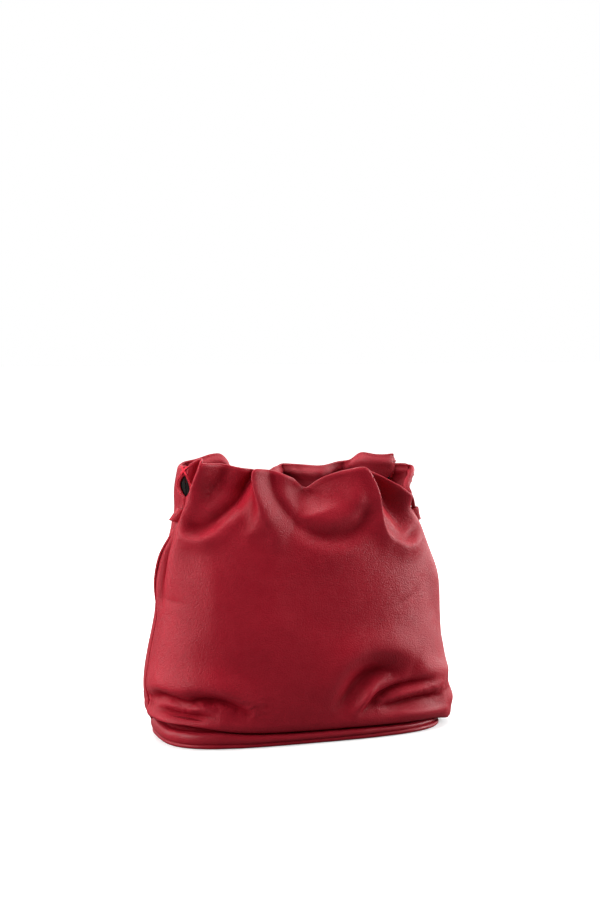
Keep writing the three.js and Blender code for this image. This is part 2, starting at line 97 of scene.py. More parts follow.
# A fold is (first half width, second half width, power of its falloff, nodes). A node is
# (u, z, out, along): u is measured from the face's middle towards growing places, out is how
# far the leather stands proud (+) or tucks in (-), along is how far it is dragged towards
# growing places, left out where it is 0. A line runs downwards or towards growing u; its half
# widths are for smaller and larger u, or above and below.
FRONT_FOLDS = [
    # left drape: standing ridge, the gutter behind it, the trough and its shelf
    (8, 12, 2.2, [(-93, 257, 9, -3), (-96, 246, 10, -3), (-103, 232, 10, -3), (-111, 217, 9, -2),
                  (-118, 206, 8, -1), (-127, 191, 6), (-132, 170, 3), (-134, 130, 0)]),
    (5, 4, 2.0, [(-106, 257, -4), (-109, 244, -4.5), (-116, 230, -4), (-123, 216, -3),
                 (-131, 198, -1)]),
    (13, 16, 2.2, [(-78, 254, -8), (-80, 240, -11), (-84, 227, -11), (-90, 217, -7),
                   (-96, 209, -2)]),
    (12, 11, 2.0, [(-103, 226, 0), (-100, 214, 3), (-94, 207, 5), (-86, 213, 3)]),
    (7, 6, 1.5, [(-122, 203, 0), (-114, 196, -3), (-102, 194, -4.5), (-90, 199, -6),
                 (-80, 207, -9, 2), (-72, 215, -13, 5), (-66, 225, -17, 7), (-60, 236, -17, 8),
                 (-54, 248, -12, 5)]),
    (4, 9, 1.8, [(-127, 193, 0), (-117, 185, 4), (-104, 183, 5.5), (-91, 188, 4), (-80, 197, 2),
                 (-70, 207, 0)]),
    # lobe: its near edge overhangs the trough
    (7, 15, 1.9, [(-43, 251, 10, -10), (-43, 238, 12, -13), (-43, 223, 12, -11),
                  (-47, 207, 9, -4), (-55, 194, 5), (-64, 182, 1)]),
    (10, 10, 2.0, [(-66, 206, -2), (-60, 196, -3), (-57, 190, -2)]),
    (8, 12, 2.0, [(-42, 196, 2), (-38, 184, 3), (-40, 170, 1)]),
    # pouch under the dip of the mouth: dent, belly, soft valley round it
    (7, 5, 1.7, [(-32, 248, -5), (-31, 232, -6), (-30, 217, -5), (-25, 205, -3.5),
                 (-17, 196, -2)]),
    (8, 8, 1.9, [(-20, 202, 0), (-10, 191, -3), (6, 184, -4.5), (26, 183, -4.8), (40, 189, -3.5),
                 (48, 200, -2)]),
    (16, 19, 2.0, [(-3, 246, 0), (-3, 237, -4), (-2, 229, -14), (0, 220, -14), (2, 211, -8),
                   (4, 204, -1.5)]),
    (15, 15, 2.0, [(-14, 206, 0), (0, 200, 3), (14, 198, 4.5), (27, 202, 4.5), (36, 212, 3)]),
    (9, 8, 2.0, [(34, 242, 2), (38, 228, 3.5), (40, 214, 4), (38, 202, 2)]),
    (8, 16, 2.0, [(-24, 184, 0), (-6, 174, 1.5), (16, 170, 2), (38, 174, 1.5), (54, 186, 0)]),
    # sharp ridge right of the pouch
    (10, 4, 1.5, [(44, 249, 10, 2), (50, 236, 12, 4), (55, 221, 12, 5), (58, 206, 10, 5),
                  (63, 192, 8, 3), (72, 181, 5), (86, 173, 2), (98, 171, 0)]),
    # right trough and its shelf
    (9, 12, 2.1, [(61, 246, -8), (68, 233, -14), (77, 218, -16), (86, 203, -14), (94, 190, -8),
                  (99, 182, -2)]),
    (5, 10, 1.9, [(80, 176, 0), (92, 170, 3.5), (104, 171, 4), (113, 178, 2.5), (119, 188, 0)]),
    # right edge, along the falling mouth and down the side
    (6, 8, 1.6, [(72, 244, 3), (84, 233, 7, 1), (96, 223, 8, 2), (103, 212, 6, 1), (110, 198, 4),
                 (118, 184, 2), (126, 160, 0)]),
    # narrower right end and flared left end of the mouth
    (14, 14, 2.0, [(116, 215, -4), (118, 206, -9), (122, 197, -4), (126, 188, 0)]),
    (12, 12, 2.0, [(-121, 250, 2), (-121, 232, 3), (-122, 218, 1)]),
    # lower left: overhanging fold, crackled hollow, short lower tuck
    (14, 6, 2.0, [(-176, 50, 1), (-150, 55, 3.5), (-128, 54, 4.5), (-112, 56, 4.5),
                  (-92, 53, 4.5), (-68, 42, 2)]),
    (3.5, 8, 1.6, [(-172, 41, -3), (-154, 45, -8.5), (-137, 43.5, -9.5), (-122, 41.5, -8),
                   (-110, 44, -8.5), (-96, 43, -10), (-84, 40, -8.5), (-72, 34, -5),
                   (-64, 28, -1)]),
    (3.5, 5, 1.6, [(-162, 32, 0), (-147, 32, -6), (-130, 30.5, -8.5), (-114, 29.5, -8),
                   (-102, 29, -3), (-92, 29, 0)]),
    (5, 7, 2.0, [(-176, 26, 3), (-160, 23, 4), (-140, 22, 4), (-118, 21, 2), (-96, 19, 0.5)]),
    (2.2, 2.2, 1.8, [(-150, 37.5, 0), (-143, 38.5, 1.4), (-134, 36.5, 0.2)]),
    (2.4, 2.2, 1.8, [(-124, 35.5, 0), (-115, 37, 1.7), (-104, 36.5, 1.2), (-98, 35, 0)]),
    (2.0, 2.2, 1.8, [(-100, 38.5, 0), (-93, 38, 1.5), (-86, 35.5, 0.8), (-80, 33, 0)]),
    # lower right: broad arc, two tucks, a crackled roll between them
    (16, 9, 2.0, [(-4, 36, 0), (8, 54, 2), (24, 72, 4), (46, 82, 4.5), (74, 80, 4), (98, 69, 1)]),
    (8, 12, 1.8, [(12, 27, -1.5), (22, 40, -6), (34, 53, -9.5), (50, 60, -10), (68, 60, -7),
                  (84, 55, -1)]),
    (4, 4, 1.7, [(32, 27, 1.5), (38, 34, 4), (45, 43, 5.5), (53, 50, 4), (66, 55, 1.5)]),
    (3, 6, 1.5, [(40, 28, -3), (48, 33, -7), (56, 39, -9), (68, 43.5, -8.5), (84, 46.5, -6.5),
                 (100, 48, -4), (116, 49, 0)]),
    (5, 4, 2.0, [(70, 37, 1), (86, 40, 3), (106, 41, 3.5), (128, 41, 2)]),
    (3, 6.5, 1.5, [(54, 29, -2), (66, 29.5, -6), (82, 31, -8.5), (98, 32, -8.5), (114, 32, -6),
                   (132, 31, 0)]),
    (4, 6, 2.0, [(70, 21, 0.5), (92, 20, 2.5), (112, 19, 3), (132, 17, 2)]),
    (11, 11, 2.0, [(92, 60, 0), (104, 57, 3), (120, 54, 4), (140, 51, 3.5)]),
    # faint creases at middle height
    (3, 3, 1.6, [(72, 116, 0), (86, 121, -0.9), (100, 127, -0.7), (112, 134, 0)]),
    (3, 3, 1.6, [(-150, 133, 0), (-140, 128, -0.9), (-128, 127, -0.6), (-118, 127, 0)]),
    (10, 12, 2.0, [(-110, 178, 0), (-98, 150, 1.5), (-96, 120, 1), (-100, 90, 0)]),
    # left side: slack folds that run down from the loop
    (4, 4, 1.5, [(-130, 188, 0), (-140, 172, -4), (-146, 156, -5), (-150, 140, -3),
                 (-152, 118, 0)]),
    (5, 5, 1.7, [(-140, 190, 0), (-148, 172, 3), (-154, 154, 4), (-158, 134, 3), (-160, 110, 0)]),
    # right side: fuller below the neck and at the foot
    (14, 20, 2.0, [(126, 186, 0), (134, 162, 3), (140, 138, 6), (146, 112, 4), (150, 84, 0)]),
    (13, 14, 2.0, [(134, 42, 0), (136, 32, 1), (137, 22, 3), (138, 12, 4.5), (138, 4, 4.5)]),
    (17, 24, 2.0, [(156, 48, 0), (157, 36, 3), (158, 26, 8), (159, 16, 11), (159, 4, 11)]),
]
BACK_FOLDS = [
    # flared right end of the mouth, the neck and a crease below it
    (15, 15, 2.0, [(-116, 252, 4), (-117, 234, 5), (-118, 226, 3)]),
    (14, 9, 2.0, [(-126, 214, -1), (-127, 206, -3), (-130, 197, -2)]),
    (8, 8, 2.0, [(-136, 204, -1), (-138, 190, -3), (-140, 176, -4.5), (-142, 164, -3.5),
                 (-144, 150, 0)]),
    # left end of the mouth and the slack side below it
    (14, 14, 2.0, [(121, 250, 2), (121, 232, 2), (124, 210, -3), (128, 198, 0)]),
    (18, 22, 2.0, [(146, 184, 0), (150, 166, 4), (154, 144, 4), (158, 118, 1), (160, 90, 0)]),
    # right side: fuller below the neck and at the back corner, with a crease
    (20, 16, 2.0, [(-134, 186, 0), (-138, 162, 5), (-144, 138, 8), (-150, 112, 5),
                   (-154, 88, 0)]),
    (12, 14, 2.0, [(-156, 62, 0), (-152, 46, 6), (-148, 32, 9), (-146, 22, 9), (-145, 12, 8),
                   (-145, 4, 8)]),
    (5, 5, 1.6, [(-149, 118, 0), (-150, 100, -3), (-154, 80, -3), (-160, 64, 0)]),
    # gathers of the mouth
    (12, 10, 1.8, [(-97, 256, 9, 3), (-97, 240, 11, 4), (-103, 220, 9, 2), (-113, 198, 4),
                   (-120, 170, 0)]),
    (9, 10, 1.8, [(-80, 254, -10), (-82, 234, -13), (-88, 214, -10), (-96, 198, -2)]),
    (12, 12, 2.0, [(-60, 250, 9), (-60, 232, 11), (-60, 210, 8), (-60, 186, 1)]),
    (13, 13, 2.0, [(-34, 248, -9), (-33, 230, -14), (-31, 210, -10), (-30, 192, 0)]),
    (11, 9, 1.7, [(-5, 250, 9, 3), (-5, 232, 11, 4), (-4, 208, 8, 2), (0, 182, 0)]),
    (12, 13, 2.0, [(19, 248, -9), (19, 228, -14), (21, 208, -10), (24, 190, 0)]),
    (10, 10, 1.8, [(46, 246, 8, -3), (45, 230, 10, -3), (43, 208, 7), (40, 180, 0)]),
    (12, 12, 2.0, [(68, 254, -9), (70, 232, -14), (76, 210, -10), (84, 190, 0)]),
    (10, 10, 1.8, [(92, 256, 9), (96, 238, 11), (106, 214, 8), (118, 186, 0)]),
    (5, 9, 2.0, [(-110, 192, 0), (-94, 183, 5), (-76, 184, 5), (-60, 196, 0)]),
    (5, 9, 2.0, [(-50, 198, 0), (-32, 184, 5), (-12, 192, 0)]),
    (5, 9, 2.0, [(4, 196, 0), (22, 182, 5), (42, 192, 0)]),
    (5, 9, 2.0, [(58, 196, 0), (78, 182, 5), (98, 192, 0)]),
    # slack rolls over the base
    (5, 6, 1.6, [(-120, 44, 0), (-96, 50, -5), (-70, 48, -5), (-44, 38, 0)]),
    (5, 5, 1.6, [(-104, 32, 0), (-82, 33, -5), (-60, 32, -3), (-40, 30, 0)]),
    (5, 6, 1.6, [(40, 36, 0), (64, 48, -5), (92, 52, -5), (124, 46, 0)]),
    (5, 5, 1.6, [(60, 30, 0), (84, 32, -5), (112, 31, -3.5), (132, 32, 0)]),
    (12, 8, 2.0, [(40, 58, 0), (66, 66, 3.5), (96, 66, 3.5), (126, 58, 0)]),
    (12, 8, 2.0, [(-124, 56, 0), (-96, 64, 3.5), (-68, 62, 3.5), (-40, 50, 0)]),
]
FOLD_COLUMNS = 1440
FOLD_STEP = 0.75  # height between the rows of the fold grid

# The right wing of the back is pleated, in over itself and back out: place, out, along
PLEAT = [
    (0.470, 0, 0), (0.485, 5, 0), (0.500, 8, 0), (0.512, 3, 1.5), (0.526, -7, 8),
    (0.538, -13, 12), (0.546, -14, 9), (0.555, -9, -3), (0.566, -2, -18), (0.575, 1, -19),
    (0.588, 1, -8), (0.600, 0, -1), (0.62, 0, 0),
]
# The mouth's left corner leans to the front, its right corner to the back: place, lean, width
CORNER_LEANS = [(0.0, 11.0, 20.0), (0.5, 8.0, 30.0)]
# Unevenness of the leather: amount, size level and upright, offset in the noise, seed, region
LEATHER_NOISE = [
    (1.1, 55, 60, (7, 3, 5), 11, "above base"),
    (0.42, 24, 30, (2, 9, 1), 12, "all"),
    (0.10, 9, 12, (4, 6, 2), 13, "all"),
    (0.42, 5.2, 3.4, (1, 8, 3), 14, "low corners"),
    (0.20, 2.6, 2.0, (1, 8, 3), 15, "low corners"),
]

PANEL_ROWS, PANEL_COLUMNS = 245, 317
PANEL_THICKNESS = 1.5
STITCH_PITCH = 3.7

FACING_HEIGHT = 22.0
# The facing bulges into a tunnel for the cord: distance below the rim, depth behind the leather
FACING_DEPTHS = np.array([
    (0.0, 1.65), (1.2, 1.8), (3.0, 2.8), (5.0, 4.1), (7.0, 4.7), (9.0, 4.3), (11.5, 3.0),
    (14.0, 2.1), (18.0, 1.8), (22.0, 1.75),
])
CORD_DROP = 7.0  # the cord's middle below the rim
CORD_DEPTH = 3.0  # and behind the leather
TUNNEL_CORD_RADIUS = 1.15

RING = np.linspace(0, 1, 560, endpoint=False)  # places of the base's sections
BASE_Z = 6.0  # height of the outline that the base pieces follow

KEEPER_Z = 193.5  # middle of the right keeper, where the free cords pass
KEEPER_HALF = 5.6
CORD_HALF_GAP = 2.0
FALL_X, FALL_Z = 17.0, 66.0  # run and drop of the line along which the cords hang
FALL_SLOPE = FALL_X / FALL_Z
TURN = 6.28
Y_AXIS = np.array([0, 1.0, 0])


# ------------------------------------------------------------------ curves and noise
def hermite(x, knots, values):
    """Smooth curve through the points (knots, values)."""
    x = np.asarray(x, float)
    slope = np.gradient(values, knots)
    i = np.clip(np.searchsorted(knots, x, side="right") - 1, 0, len(knots) - 2)
    span = knots[i + 1] - knots[i]
    part = np.clip((x - knots[i]) / span, 0, 1)
    return (
        (2 * part**3 - 3 * part**2 + 1) * values[i]
        + (part**3 - 2 * part**2 + part) * span * slope[i]
        + (-2 * part**3 + 3 * part**2) * values[i + 1]
        + (part**3 - part**2) * span * slope[i + 1]
    )


def catmull(nodes, per=5):
    """Smooth line through the nodes, `per` points to a span."""
    nodes = np.asarray(nodes, float)
    ends = 2 * nodes[0] - nodes[1], 2 * nodes[-1] - nodes[-2]
    knots = np.vstack([ends[0], nodes, ends[1]])
    line = []
    for before, start, end, after in zip(knots, knots[1:], knots[2:], knots[3:]):
        for part in np.arange(per) / per:
            line.append(
                0.5
                * (
                    2 * start
                    + (end - before) * part
                    + (2 * before - 5 * start + 4 * end - after) * part**2
                    + (3 * start - before - 3 * end + after) * part**3
                )
            )
    line.append(knots[-2])
    return np.array(line)


def smooth(start, end, x):
    """0 before start, 1 past end, eased between them."""
    part = np.clip((np.asarray(x, float) - start) / (end - start), 0, 1)
    return part * part * (3 - 2 * part)


def bump(x, width):
    return np.exp(-((x / width) ** 2))


def wrapped(turn):
    """The same turn between -0.5 and 0.5."""
    return np.mod(turn + 0.5, 1) - 0.5


def unit(vectors):
    return vectors / np.maximum(np.linalg.norm(vectors, axis=-1, keepdims=True), 1e-9)


def noise(x, y, z, seed):
    """Smooth repeatable noise between -1 and 1."""
    size = 32
    lattice = np.random.RandomState(seed).rand(size, size, size) * 2 - 1
    spots = [np.asarray(v, float) for v in (x, y, z)]
    cells = [np.floor(v).astype(int) for v in spots]
    parts = [v - cell for v, cell in zip(spots, cells)]
    eased = [p * p * p * (p * (p * 6 - 15) + 10) for p in parts]
    total = 0
    for corner in np.ndindex(2, 2, 2):
        in_x, in_y, in_z = [p if far else 1 - p for p, far in zip(eased, corner)]
        at = tuple((cell + far) % size for cell, far in zip(cells, corner))
        total = total + in_x * in_y * in_z * lattice[at]
    return total


def distances(points):
    """Distance travelled along a line at each of its points."""
    return np.r_[0, np.cumsum(np.linalg.norm(np.diff(points, axis=0), axis=1))]


def spaced(points, count):
    """The line as `count` evenly spaced points."""
    travelled = distances(points)
    wanted = np.linspace(0, travelled[-1], count)
    return np.stack([np.interp(wanted, travelled, column) for column in points.T], 1)


def resample(points, step):
    points = np.asarray(points, float)
    return spaced(points, max(2, int(round(distances(points)[-1] / step)) + 1))


def spline(points, step):
    return resample(catmull(points, 12), step)


def look_up(grid, row_step, place, z):
    """Values between the nodes of a grid [height, place, ...]; its last column closes the ring."""
    columns = grid.shape[1] - 1
    column = np.mod(place, 1) * columns
    row = np.clip(z / row_step, 0, len(grid) - 1.001)
    i = row.astype(int)
    j = np.minimum(column.astype(int), columns - 1)
    up = (row - i)[..., None]
    on = (column - j)[..., None]
    lower = grid[i, j] * (1 - on) + grid[i, j + 1] * on
    upper = grid[i + 1, j] * (1 - on) + grid[i + 1, j + 1] * on
    return lower * (1 - up) + upper * up


# ------------------------------------------------------------------ plain body
def plain_loops():
    """Evenly spaced outlines [height, place, xy], with their heights and girths."""
    heights = np.arange(0, 263, LOOP_STEP)
    loops, girths = [], []
    fine = 4 * LOOP_COLUMNS
    angle = np.pi + 2 * np.pi * np.arange(fine + 1) / fine
    for z in heights:
        half_width, half_depth, power = [
            hermite(z, BODY_LEVELS[:, 0], BODY_LEVELS[:, column]) for column in (1, 2, 3)
        ]
        radius = 1 / (
            np.abs(np.cos(angle) / half_width) ** power
            + np.abs(np.sin(angle) / half_depth) ** power
        ) ** (1 / power)
        x, y = radius * np.cos(angle), radius * np.sin(angle)
        travelled = np.r_[0, np.cumsum(np.hypot(np.diff(x), np.diff(y)))]
        even = np.arange(LOOP_COLUMNS + 1) / LOOP_COLUMNS * travelled[-1]
        outline = [np.interp(even, travelled, x), np.interp(even, travelled, y)]
        loops.append(np.stack(outline, -1))
        girths.append(travelled[-1])
    return heights, np.array(loops), np.array(girths)


LOOP_HEIGHTS, LOOPS, GIRTHS = plain_loops()


def girth_at(z):
    return np.interp(z, LOOP_HEIGHTS, GIRTHS)


def loop_point(place, z):
    """x and y of the plain body."""
    return np.moveaxis(look_up(LOOPS, LOOP_STEP, place, z), -1, 0)


def push_out(place, z, out):
    """x and y of the plain body moved outwards, square to the outline."""
    step = 0.004
    x, y = loop_point(place, z)
    run_x, run_y = loop_point(place + step, z) - loop_point(place - step, z)
    run = np.hypot(run_x, run_y)
    return x + run_y / run * out, y - run_x / run * out


def ring_curve(table, width):
    """Height round the ring from a table of (place, height), softened over a width."""
    places, heights = np.array(table, float).T
    count = 2000
    turn = np.arange(count) / count
    kernel = bump(np.minimum(turn, 1 - turn), width)
    spectrum = np.fft.fft(np.interp(turn, places, heights)) * np.fft.fft(kernel / kernel.sum())
    soft = np.real(np.fft.ifft(spectrum))
    return lambda place: np.interp(np.mod(place, 1), np.r_[turn, 1], np.r_[soft, soft[0]])


rim_z = ring_curve(RIM, width=0.0055)
skirt_z = ring_curve(SKIRT, width=0.012)


# ------------------------------------------------------------------ folds
def fold_amounts(place, z, face, first, second, power, nodes):
    """Indices of the points near one fold, and its out and along amounts there."""
    line = catmull([(*node, 0)[:4] for node in nodes])
    u = wrapped(place - face) * girth_at(z)
    reach = 2.3 * max(first, second)
    low, high = line[:, :2].min(0) - reach, line[:, :2].max(0) + reach
    near = np.flatnonzero((u > low[0]) & (u < high[0]) & (z > low[1]) & (z < high[1]))
    u, z = u[near], z[near]
    nearest = np.full(len(near), 1e9)
    amount = np.zeros((len(near), 2))
    side = np.zeros(len(near))
    for start, end in zip(line[:-1], line[1:]):
        run_u, run_z = end[:2] - start[:2]
        run_squared = max(run_u * run_u + run_z * run_z, 1e-9)
        part = np.clip(((u - start[0]) * run_u + (z - start[1]) * run_z) / run_squared, 0, 1)
        off_u, off_z = u - start[0] - part * run_u, z - start[1] - part * run_z
        gap = off_u * off_u + off_z * off_z
        closer = gap < nearest
        nearest[closer] = gap[closer]
        mix = part[closer][:, None]
        amount[closer] = start[2:] * (1 - mix) + end[2:] * mix
        # sine of the angle off the line: +1 to its left hand, -1 to its right hand
        sine = (run_u * off_z - run_z * off_u) / np.sqrt(run_squared * np.maximum(gap, 1e-12))
        side[closer] = sine[closer]
    falling = line[0, 1] - line[-1, 1] > abs(line[-1, 0] - line[0, 0])
    width = second + (first - second) * (0.5 + 0.5 * (-side if falling else side))
    return near, amount * np.exp(-((np.sqrt(nearest) / width) ** power))[:, None]


def build_fold_grid():
    """Sum of all folds on one fine grid, softened so crossing folds melt together."""
    columns, rows = np.arange(FOLD_COLUMNS) / FOLD_COLUMNS, np.arange(0, 262.1, FOLD_STEP)
    place, z = np.meshgrid(columns, rows)
    total = np.zeros((place.size, 2))
    for face, folds in ((FRONT, FRONT_FOLDS), (BACK, BACK_FOLDS)):
        for fold in folds:
            near, amount = fold_amounts(place.ravel(), z.ravel(), face, *fold)
            total[near] += amount
    grid = total.reshape(*place.shape, 2)
    for _ in range(10):
        grid = (np.roll(grid, 1, 1) + 2 * grid + np.roll(grid, -1, 1)) / 4
    for _ in range(5):
        grid[1:-1] = (grid[:-2] + 2 * grid[1:-1] + grid[2:]) / 4
    return np.concatenate([grid, grid[:, :1]], 1)


FOLD_GRID = build_fold_grid()
PLEAT_PLACE = np.linspace(0.47, 0.62, 301)
_pleat = catmull(PLEAT, 20)
PLEAT_OUT, PLEAT_ALONG = [np.interp(PLEAT_PLACE, _pleat[:, 0], _pleat[:, k]) for k in (1, 2)]


def leather_point(place, z, pleat=1.0):
    """Points of the sculpted outer face; pleat scales the pleat of the right wing."""
    place, z = np.broadcast_arrays(np.asarray(place, float), np.asarray(z, float))
    out, along = np.moveaxis(look_up(FOLD_GRID, FOLD_STEP, place, z), -1, 0)
    girth = girth_at(z)
    turn = np.mod(place, 1)
    wing = smooth(203, 236, z)
    out = out * (1 - 0.7 * wing * bump(turn - 0.54, 0.03))
    out = out + wing * pleat * np.interp(turn, PLEAT_PLACE, PLEAT_OUT)
    along = along + wing * pleat * np.interp(turn, PLEAT_PLACE, PLEAT_ALONG)
    for corner, lean, width in CORNER_LEANS:
        near = bump(wrapped(place - corner) * girth, width)
        along = along + lean * smooth(150, 225, z) * near

    x, y = loop_point(place, z)
    regions = {
        "above base": smooth(20, 60, z),
        "all": 1.0,
        "low corners": bump(z - 37, 8) * smooth(22, 70, np.abs(x)),
    }
    for amount, level, upright, (in_x, in_y, in_z), seed, region in LEATHER_NOISE:
        rough = noise(x / level + in_x, y / level + in_y, z / upright + in_z, seed)
        out = out + amount * rough * regions[region]

    # the right seam sinks into a hollow under the hanging cords
    off = (turn - 0.5) * girth - 5.0
    out = out - 7.2 * smooth(182, 158, z) * smooth(104, 122, z) * bump(off, 9.0)
    x, y = push_out(place + along / girth, z, out)
    return np.stack([x, y, z + 0 * x], -1)


def normals_of(points):
    """Outward normals of a grid [height, place, xyz]."""
    return unit(np.cross(np.gradient(points, axis=1), np.gradient(points, axis=0)))


def blur(grid, rows, columns):
    """Soft average of a grid of vectors, repeated along each axis."""
    for axis, times in ((0, rows), (1, columns)):
        for _ in range(times):
            lines = np.moveaxis(grid, axis, 0)
            padded = np.concatenate([lines[:1], lines, lines[-1:]])
            grid = np.moveaxis((padded[:-2] + 2 * padded[1:-1] + padded[2:]) / 4, 0, axis)
    return grid


# ------------------------------------------------------------------ mesh helpers
def new_mesh(name, mesh, material, attributes=None):
    """Smooth mesh object from (vertices in millimetres, faces)."""
    vertices, faces = mesh
    data = bpy.data.meshes.new(name)
    data.from_pydata([tuple(v) for v in np.asarray(vertices) * MM], [], [tuple(f) for f in faces])
    data.validate()
    for key, values in (attributes or {}).items():
        attribute = data.attributes.new(key, "FLOAT", "POINT")
        attribute.data.foreach_set("value", np.asarray(values, np.float32))
    data.polygons.foreach_set("use_smooth", [True] * len(data.polygons))
    data.update()
    piece = bpy.data.objects.new(name, data)
    bpy.context.scene.collection.objects.link(piece)
    data.materials.append(material)
    return piece


def add_piece(name, mesh, look, replaces=(), half=None, ride="bag_body", attributes=None):
    piece = new_mesh(name, mesh, MATERIALS[look], attributes)
    if replaces:
        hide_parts(*replaces)
    if half:
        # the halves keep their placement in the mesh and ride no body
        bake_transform(piece)
    else:
        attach(piece, ride)


def slab(outer, inner):
    """Closed thick sheet from two grids; its vertices are outer, inner, then the rounded rim."""
    rows, columns = outer.shape[:2]
    count = rows * columns
    index = np.arange(count).reshape(rows, columns)
    corners = [index[:-1, :-1], index[:-1, 1:], index[1:, 1:], index[1:, :-1]]
    quads = np.stack(corners, -1).reshape(-1, 4)

    bottom, top = unit(outer[0] - outer[1]), unit(outer[-1] - outer[-2])
    left, right = unit(outer[:, 0] - outer[:, 1]), unit(outer[:, -1] - outer[:, -2])
    loop = np.concatenate([index[0, :-1], index[:-1, -1], index[-1, :0:-1], index[:0:-1, 0]])
    away = np.concatenate([bottom[:-1], right[:-1], top[:0:-1], left[:0:-1]])
    # corners look both ways
    away[0] = unit(bottom[0] + left[0])
    away[columns - 1] = unit(right[0] + bottom[-1])
    away[columns + rows - 2] = unit(top[-1] + right[-1])
    away[2 * columns + rows - 3] = unit(left[-1] + top[0])

    outer_rim, inner_rim = outer.reshape(-1, 3)[loop], inner.reshape(-1, 3)[loop]
    thickness = np.linalg.norm(outer_rim - inner_rim, axis=1, keepdims=True)
    middle_rim = (outer_rim + inner_rim) / 2 + away * thickness * 0.5
    middle = np.arange(len(loop)) + 2 * count
    loop_next, middle_next = np.roll(loop, -1), np.roll(middle, -1)
    faces = [
        quads,
        quads[:, ::-1] + count,
        np.stack([loop_next, loop, middle, middle_next], -1),
        np.stack([middle_next, middle, loop + count, loop_next + count], -1),
    ]
    vertices = np.concatenate([outer.reshape(-1, 3), inner.reshape(-1, 3), middle_rim])
    return vertices, np.concatenate(faces)


def slab_values(shape, outer, inner, rim):
    """One value for each vertex of a slab; outer and inner are grids or single values."""
    grids = [np.broadcast_to(values, shape).ravel() for values in (outer, inner)]
    return np.concatenate([*grids, np.full(2 * sum(shape) - 4, rim)])


def rope(path, radius, sides=14):
    """Round cord along a path with domed ends; radius is a number or one for each point."""
    path = np.asarray(path, float)
    radius = np.broadcast_to(radius, len(path)).astype(float)
    tangent = unit(np.gradient(path, axis=0))
    up = np.array([0, 0, 1.0]) if abs(tangent[0][2]) < 0.9 else np.array([1.0, 0, 0])
    normal = unit(np.cross(tangent[0], up))

    dome = np.array([0.45, 0.8, 0.97])
    shrink = np.sqrt(1 - dome * dome)
    head = path[0] - tangent[0] * radius[0] * dome[::-1, None]
    tail = path[-1] + tangent[-1] * radius[-1] * dome[:, None]
    path = np.vstack([head, path, tail])
    radius = np.concatenate([radius[0] * shrink[::-1], radius, radius[-1] * shrink])
    tangent = np.vstack([[tangent[0]] * 3, tangent, [tangent[-1]] * 3])

    rings = []
    angle = (2 * np.pi * np.arange(sides) / sides)[:, None]
    for point, size, forward in zip(path, radius, tangent):
        normal = unit(normal - forward * (normal @ forward))
        across = np.cross(forward, normal)
        rings.append(point + size * (np.cos(angle) * normal + np.sin(angle) * across))
    poles = [path[:1] - tangent[:1] * 0.02, path[-1:] + tangent[-1:] * 0.02]
    around = [(k, (k + 1) % sides) for k in range(sides)]
    faces = []
    for row in range(0, (len(path) - 1) * sides, sides):
        faces += [(row + k, row + n, row + sides + n, row + sides + k) for k, n in around]
    pole = len(path) * sides
    last = pole - sides
    for k, n in around:
        faces.append((pole, n, k))
        faces.append((pole + 1, last + k, last + n))
    return np.vstack(rings + poles), faces


def join(parts):
    """Several (vertices, faces) as one."""
    all_vertices, all_faces, count = [], [], 0
    for vertices, faces in parts:
        all_vertices.append(vertices)
        all_faces += [tuple(int(i) + count for i in face) for face in faces]
        count += len(vertices)
    return np.concatenate(all_vertices), all_faces


def stitches(path, normals, pitch, radius, length=2.7, lift=0.30, sink=0.12):
    """Short stitches along a path, each a bowed thread whose ends dive into the leather."""
    points = resample(path, pitch)
    wanted, given = np.linspace(0, 1, len(points)), np.linspace(0, 1, len(normals))
    normals = unit(np.stack([np.interp(wanted, given, axis) for axis in normals.T], 1))
    parts = []
    for i in range(len(points) - 1):
        middle = (points[i] + points[i + 1]) / 2
        forward = unit(points[i + 1] - points[i])
        normal = (normals[i] + normals[i + 1]) / 2
        tilt = np.cross(normal, forward) * 0.22
        thread = [
            middle
            + (forward + tilt) * length * part
            + normal * (lift * (1 - (2 * part) ** 2) - sink * (2 * part) ** 2)
            for part in (-0.5, -0.3, 0, 0.3, 0.5)
        ]
        parts.append(rope(thread, [radius * 0.7, radius, radius, radius, radius * 0.7], sides=7))
    return join(parts)


# ------------------------------------------------------------------ materials
def set_inputs(tree, node, inputs):
    """Give each input of a node a value, or link it where an output socket is given."""
    for key, value in inputs.items():
        if isinstance(value, bpy.types.NodeSocket):
            tree.links.new(value, node.inputs[key])
        else:
            node.inputs[key].default_value = value


def add_node(tree, kind, inputs=None, **settings):
    node = tree.nodes.new(kind)
    for key, value in settings.items():
        setattr(node, key, value)
    set_inputs(tree, node, inputs or {})
    return node


def remap(tree, source, span, to=(0.0, 1.0), interpolation="LINEAR"):
    """Map the span (low, high) of a source onto another pair of values."""
    inputs = {"From Min": span[0], "From Max": span[1], "To Min": to[0], "To Max": to[1]}
    inputs["Value"] = source
    kind = "ShaderNodeMapRange"
    return add_node(tree, kind, inputs, interpolation_type=interpolation).outputs["Result"]


def mix(tree, factor, first, second):
    """Mix two colours, each an (r, g, b) or a socket."""
    first, second = [(*c, 1) if isinstance(c, tuple) else c for c in (first, second)]
    inputs = {"Factor": factor, 6: first, 7: second}
    return add_node(tree, "ShaderNodeMix", inputs, data_type="RGBA").outputs[2]


def calculate(tree, operation, *inputs):
    node = add_node(tree, "ShaderNodeMath", dict(enumerate(inputs)), operation=operation)
    return node.outputs[0]


def noise_texture(tree, vector, scale, detail, roughness):
    inputs = {"Vector": vector, "Scale": scale, "Detail": detail, "Roughness": roughness}
    return add_node(tree, "ShaderNodeTexNoise", inputs).outputs["Fac"]


def new_material(name):
    material = bpy.data.materials.new(name)
    material.use_nodes = True
    return material, material.node_tree


